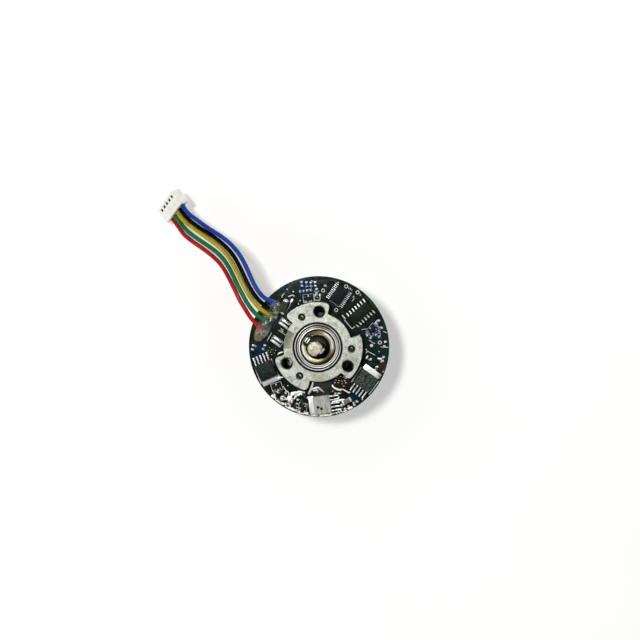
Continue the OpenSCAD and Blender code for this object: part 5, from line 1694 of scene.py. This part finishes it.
class MOTOR_OT_shaft(Step, bpy.types.Operator):
    """Make the output shaft with its flat, and the clip that holds it"""

    bl_idname = "motor.shaft"
    bl_label = "Shaft and clip"

    def execute(self, context):
        piece("shaft", self.bar(), shaft_steel(), "output_shaft", "rotor", 25)
        eased_copy("clip", "retaining_clip", black_oxide(), 0.06 * MM, "rotor")
        # Two strips of bright steel on the clip's ears are painted highlights on its black metal
        top, turn = high("retaining_clip")[2], math.radians(150)
        bar = block(0.36 * MM, 1.9 * MM, top - 0.02 * MM, top + 0.04 * MM, edge=0.02, corner=0.12)
        highlight_bars = [moved(bar, radius * MM * axis(turn), turn) for radius in (3.96, 4.8)]
        piece("clip_bars", highlight_bars, turned_metal("worn_steel"), body="rotor")
        return {"FINISHED"}

    def bar(self):
        """A turned bar with a milled flat: above the flat's foot, every point that stands further out than
        the flat along its direction is pulled back onto it, and at the foot most of the way, for a
        bevelled step."""
        tip, end = high("output_shaft")[2], low("output_shaft")[2]
        foot, flat, groove, hair = 0.1 * MM, SHAFT_R - 0.5 * MM, SHAFT_R - 0.2 * MM, 0.001 * MM
        top, under = high("retaining_clip")[2] + FIT, low("retaining_clip")[2] - FIT
        line = [
            (0, tip), (0.35 * MM, tip), (SHAFT_R - 0.3 * MM, tip), (SHAFT_R, tip - 0.3 * MM),
            (SHAFT_R, foot + hair), (SHAFT_R, foot), (SHAFT_R, max(foot - 0.32 * MM, top + FIT)),
            (SHAFT_R, top), (groove, top), (groove, under), (SHAFT_R, under),
            (SHAFT_R, end + 0.2 * MM), (SHAFT_R - 0.2 * MM, end), (0, end),
        ]
        points, quads = turned_line(line, [0, 0, 0.08, 0.08, 0, 0, 0, 0, 0, 0, 0, 0.1, 0.1, 0], 240, False)
        out = axis(math.radians(-38))
        beyond = np.maximum(points[:, :2] @ out - flat, 0)
        above = points[:, 2] - foot
        share = np.where(above > hair / 2, 1.0, np.where(above > -hair / 2, 0.8, 0.0))
        points[:, :2] -= (share * beyond)[:, None] * out
        return points, quads


class MOTOR_OT_stator(Step, bpy.types.Operator):
    """Make the wound stator"""

    bl_idname = "motor.stator"
    bl_label = "Stator"

    def execute(self, context):
        eased_copy("laminations", "stator_core", laminated_steel(), 0.05 * MM)
        for node in ("front_insulator", "rear_insulator"):
            eased_copy(node + "_moulding", node, nylon("insulator_nylon"), 0.08 * MM)
        coils = [self.coil(solid) for solid in solids("windings")]
        piece("copper_coils", coils, enamelled_copper(), "windings")
        return {"FINISHED"}

    def coil(self, solid):
        """Turns of wire round a tooth, two layers deep: each turn is a rounded rectangle across the tooth,
        and the next one lies a wire further out."""
        wire = sizes().winding_wire
        wide, deep = max(solid.length, solid.width), min(solid.length, solid.width)
        height, middle = solid.high - solid.low, (solid.high + solid.low) / 2
        loops = []
        for layer in (0, 1):
            inset = wire * (0.5 + 0.9 * layer)
            outline = box_outline(wide - 2 * inset, height - 2 * inset, 1.2 * MM - inset * 0.5)
            loop = carry(circle(wire / 2, 8), np.insert(outline, 0, 0, axis=1), up=(1, 0, 0), closed=True)
            count = int(deep // wire) - layer
            loops += [moved(loop, ((k - (count - 1) / 2) * wire, 0, 0)) for k in range(count)]
        return moved(joined(loops), (*solid.middle, middle), math.atan2(*solid.middle[::-1]))


class MOTOR_OT_rotor(Step, bpy.types.Operator):
    """Make the rotor: its drawn cup, the magnet and the hub"""

    bl_idname = "motor.rotor"
    bl_label = "Rotor"

    def execute(self, context):
        piece("cup", self.cup(), drawn_steel(), "rotor_cup", "rotor", 30)
        eased_copy("magnet", "magnet_ring", magnet_ferrite(), 0.15 * MM, "rotor")
        piece("hub", self.hub(), turned_metal("hub_brass"), "rotor_hub", "rotor", 30)
        return {"FINISHED"}

    def cup(self):
        """A drawn cup: a hole with a rounded edge, a floor with a pressed ring, a bend and a wall with a
        rounded rim, followed round its outside and back along its inside."""
        wall_r, rim, under = high("rotor_cup")[0], high("rotor_cup")[2], low("rotor_cup")[2]
        inside_r, hole_r, floor = high("magnet_ring")[0] + FIT, 3.92 * MM, under + 1.2 * MM
        step = sizes().cup_step
        line = [
            (hole_r, floor), (hole_r, under), (9.6 * MM, under), (10.4 * MM, under + step),
            (15.2 * MM, under + step), (16.0 * MM, under), (wall_r, under), (wall_r, rim), (inside_r, rim),
            (inside_r, floor), (16.4 * MM, floor), (15.6 * MM, floor + step), (10.0 * MM, floor + step),
            (9.2 * MM, floor),
        ]
        radii = [0.1, 0.1, 0.4, 0.4, 0.4, 0.4, 1.6, 0.3, 0.3, 0.9, 0.4, 0.4, 0.4, 0.4]
        return turned_line(line, radii, 160, arc=6)

    def hub(self):
        """A turned hub with a flange on the cup's floor and a groove staked round the shaft."""
        under, top = low("rotor_hub")[2], high("rotor_hub")[2]
        bore, neck, flange, nose = SHAFT_R + FIT, 3.9 * MM, high("rotor_hub")[0], 3.4 * MM
        stake, seat, face = under + 0.15 * MM, under + 1.2 * MM, under + 2.0 * MM
        line = [
            (bore, stake), (bore + 0.35 * MM, stake), (bore + 0.55 * MM, under), (neck, under), (neck, seat),
            (flange, seat), (flange, face), (nose, face), (nose, top), (bore, top),
        ]
        return turned_line(line, [0, 0.08, 0.08, 0.12, 0, 0.1, 0.1, 0, 0.05, 0.05])


class MOTOR_OT_stage(Step, bpy.types.Operator):
    """Lay the floor and set the lights"""

    bl_idname = "motor.stage"
    bl_label = "Floor and lights"

    def execute(self, context):
        scene = context.scene
        scene.view_settings.view_transform = "Standard"
        ticks = np.linspace(-1.5, 1.5, 7)
        x, y = np.meshgrid(ticks, ticks, indexing="ij")
        points, quads = grid(np.stack([x, y, np.full_like(x, FLOOR - 0.02 * MM)], axis=-1))
        mesh = bpy.data.meshes.new("floor")
        mesh.from_pydata(points.tolist(), [], quads.tolist())
        mesh.materials.append(floor_white())
        floor = bpy.data.objects.new("floor", mesh)
        scene.collection.objects.link(floor)
        self.lamp("key_light", place=(-0.24, 0.22, 1.0), size=0.18, power=5.4, colour=(1.0, 0.99, 0.97))
        scene.world = self.sky()
        return {"FINISHED"}

    def lamp(self, name, place, size, power, colour):
        """A square soft light that faces the motor."""
        data = bpy.data.lights.new(name, "AREA")
        data.size = size
        data.energy = power
        data.color = colour
        obj = bpy.data.objects.new(name, data)
        bpy.context.scene.collection.objects.link(obj)
        obj.location = place
        obj.rotation_euler = (Vector(place) - Vector((0, 0.01, 0))).to_track_quat("Z", "Y").to_euler()

    def sky(self):
        """Light from all sides that fades towards the zenith, so level gloss stays dark; white where the
        camera looks straight at it."""
        world = bpy.data.worlds.new("studio")
        world.use_nodes = True
        node = functools.partial(shader_node, world.node_tree)
        direction = node("ShaderNodeTexCoord").outputs["Generated"]
        height = node("ShaderNodeSeparateXYZ", {0: direction}).outputs[2]
        fade = {"Value": height, "From Min": 0.35, "From Max": 0.9, "To Min": 1.0, "To Max": 0.03}
        fade = node("ShaderNodeMapRange", fade, interpolation_type="SMOOTHSTEP").outputs["Result"]
        seen = node("ShaderNodeLightPath").outputs["Is Camera Ray"]
        strength = node("ShaderNodeMix", {0: seen, 2: fade, 3: 1.0}).outputs[0]
        back = world.node_tree.nodes["Background"]
        back.inputs["Color"].default_value = (1, 1, 1, 1)
        world.node_tree.links.new(strength, back.inputs["Strength"])
        return world


STEPS = (
    MOTOR_OT_camera, MOTOR_OT_lead, MOTOR_OT_bracket, MOTOR_OT_board, MOTOR_OT_power_chips,
    MOTOR_OT_logic_chips, MOTOR_OT_chip_parts, MOTOR_OT_small_chips, MOTOR_OT_joints, MOTOR_OT_bearings,
    MOTOR_OT_shaft, MOTOR_OT_stator, MOTOR_OT_rotor, MOTOR_OT_stage,
)


class MOTOR_PT_panel(bpy.types.Panel):
    """Lists the motor's sizes, colours and steps"""

    bl_idname = "MOTOR_PT_panel"
    bl_label = "Flat Brushless Motor"
    bl_space_type = "VIEW_3D"
    bl_region_type = "UI"
    bl_category = "Motor"

    def draw(self, context):
        for group in (context.scene.motor_sizes, context.scene.motor_colours):
            box = self.layout.box()
            for name in group.bl_rna.properties.keys():
                if name not in {"rna_type", "name"}:
                    box.prop(group, name)
        for step in STEPS:
            self.layout.operator(step.bl_idname)


CLASSES = (MotorSizes, MotorColours, *STEPS, MOTOR_PT_panel)


def register():
    for cls in CLASSES:
        bpy.utils.register_class(cls)
    bpy.types.Scene.motor_sizes = PointerProperty(type=MotorSizes)
    bpy.types.Scene.motor_colours = PointerProperty(type=MotorColours)


def unregister():
    del bpy.types.Scene.motor_colours
    del bpy.types.Scene.motor_sizes
    for cls in reversed(CLASSES):
        bpy.utils.unregister_class(cls)


def main():
    register()
    for step in STEPS:
        getattr(bpy.ops.motor, step.bl_idname.split(".")[1])()


if __name__ == "__main__":
    main()
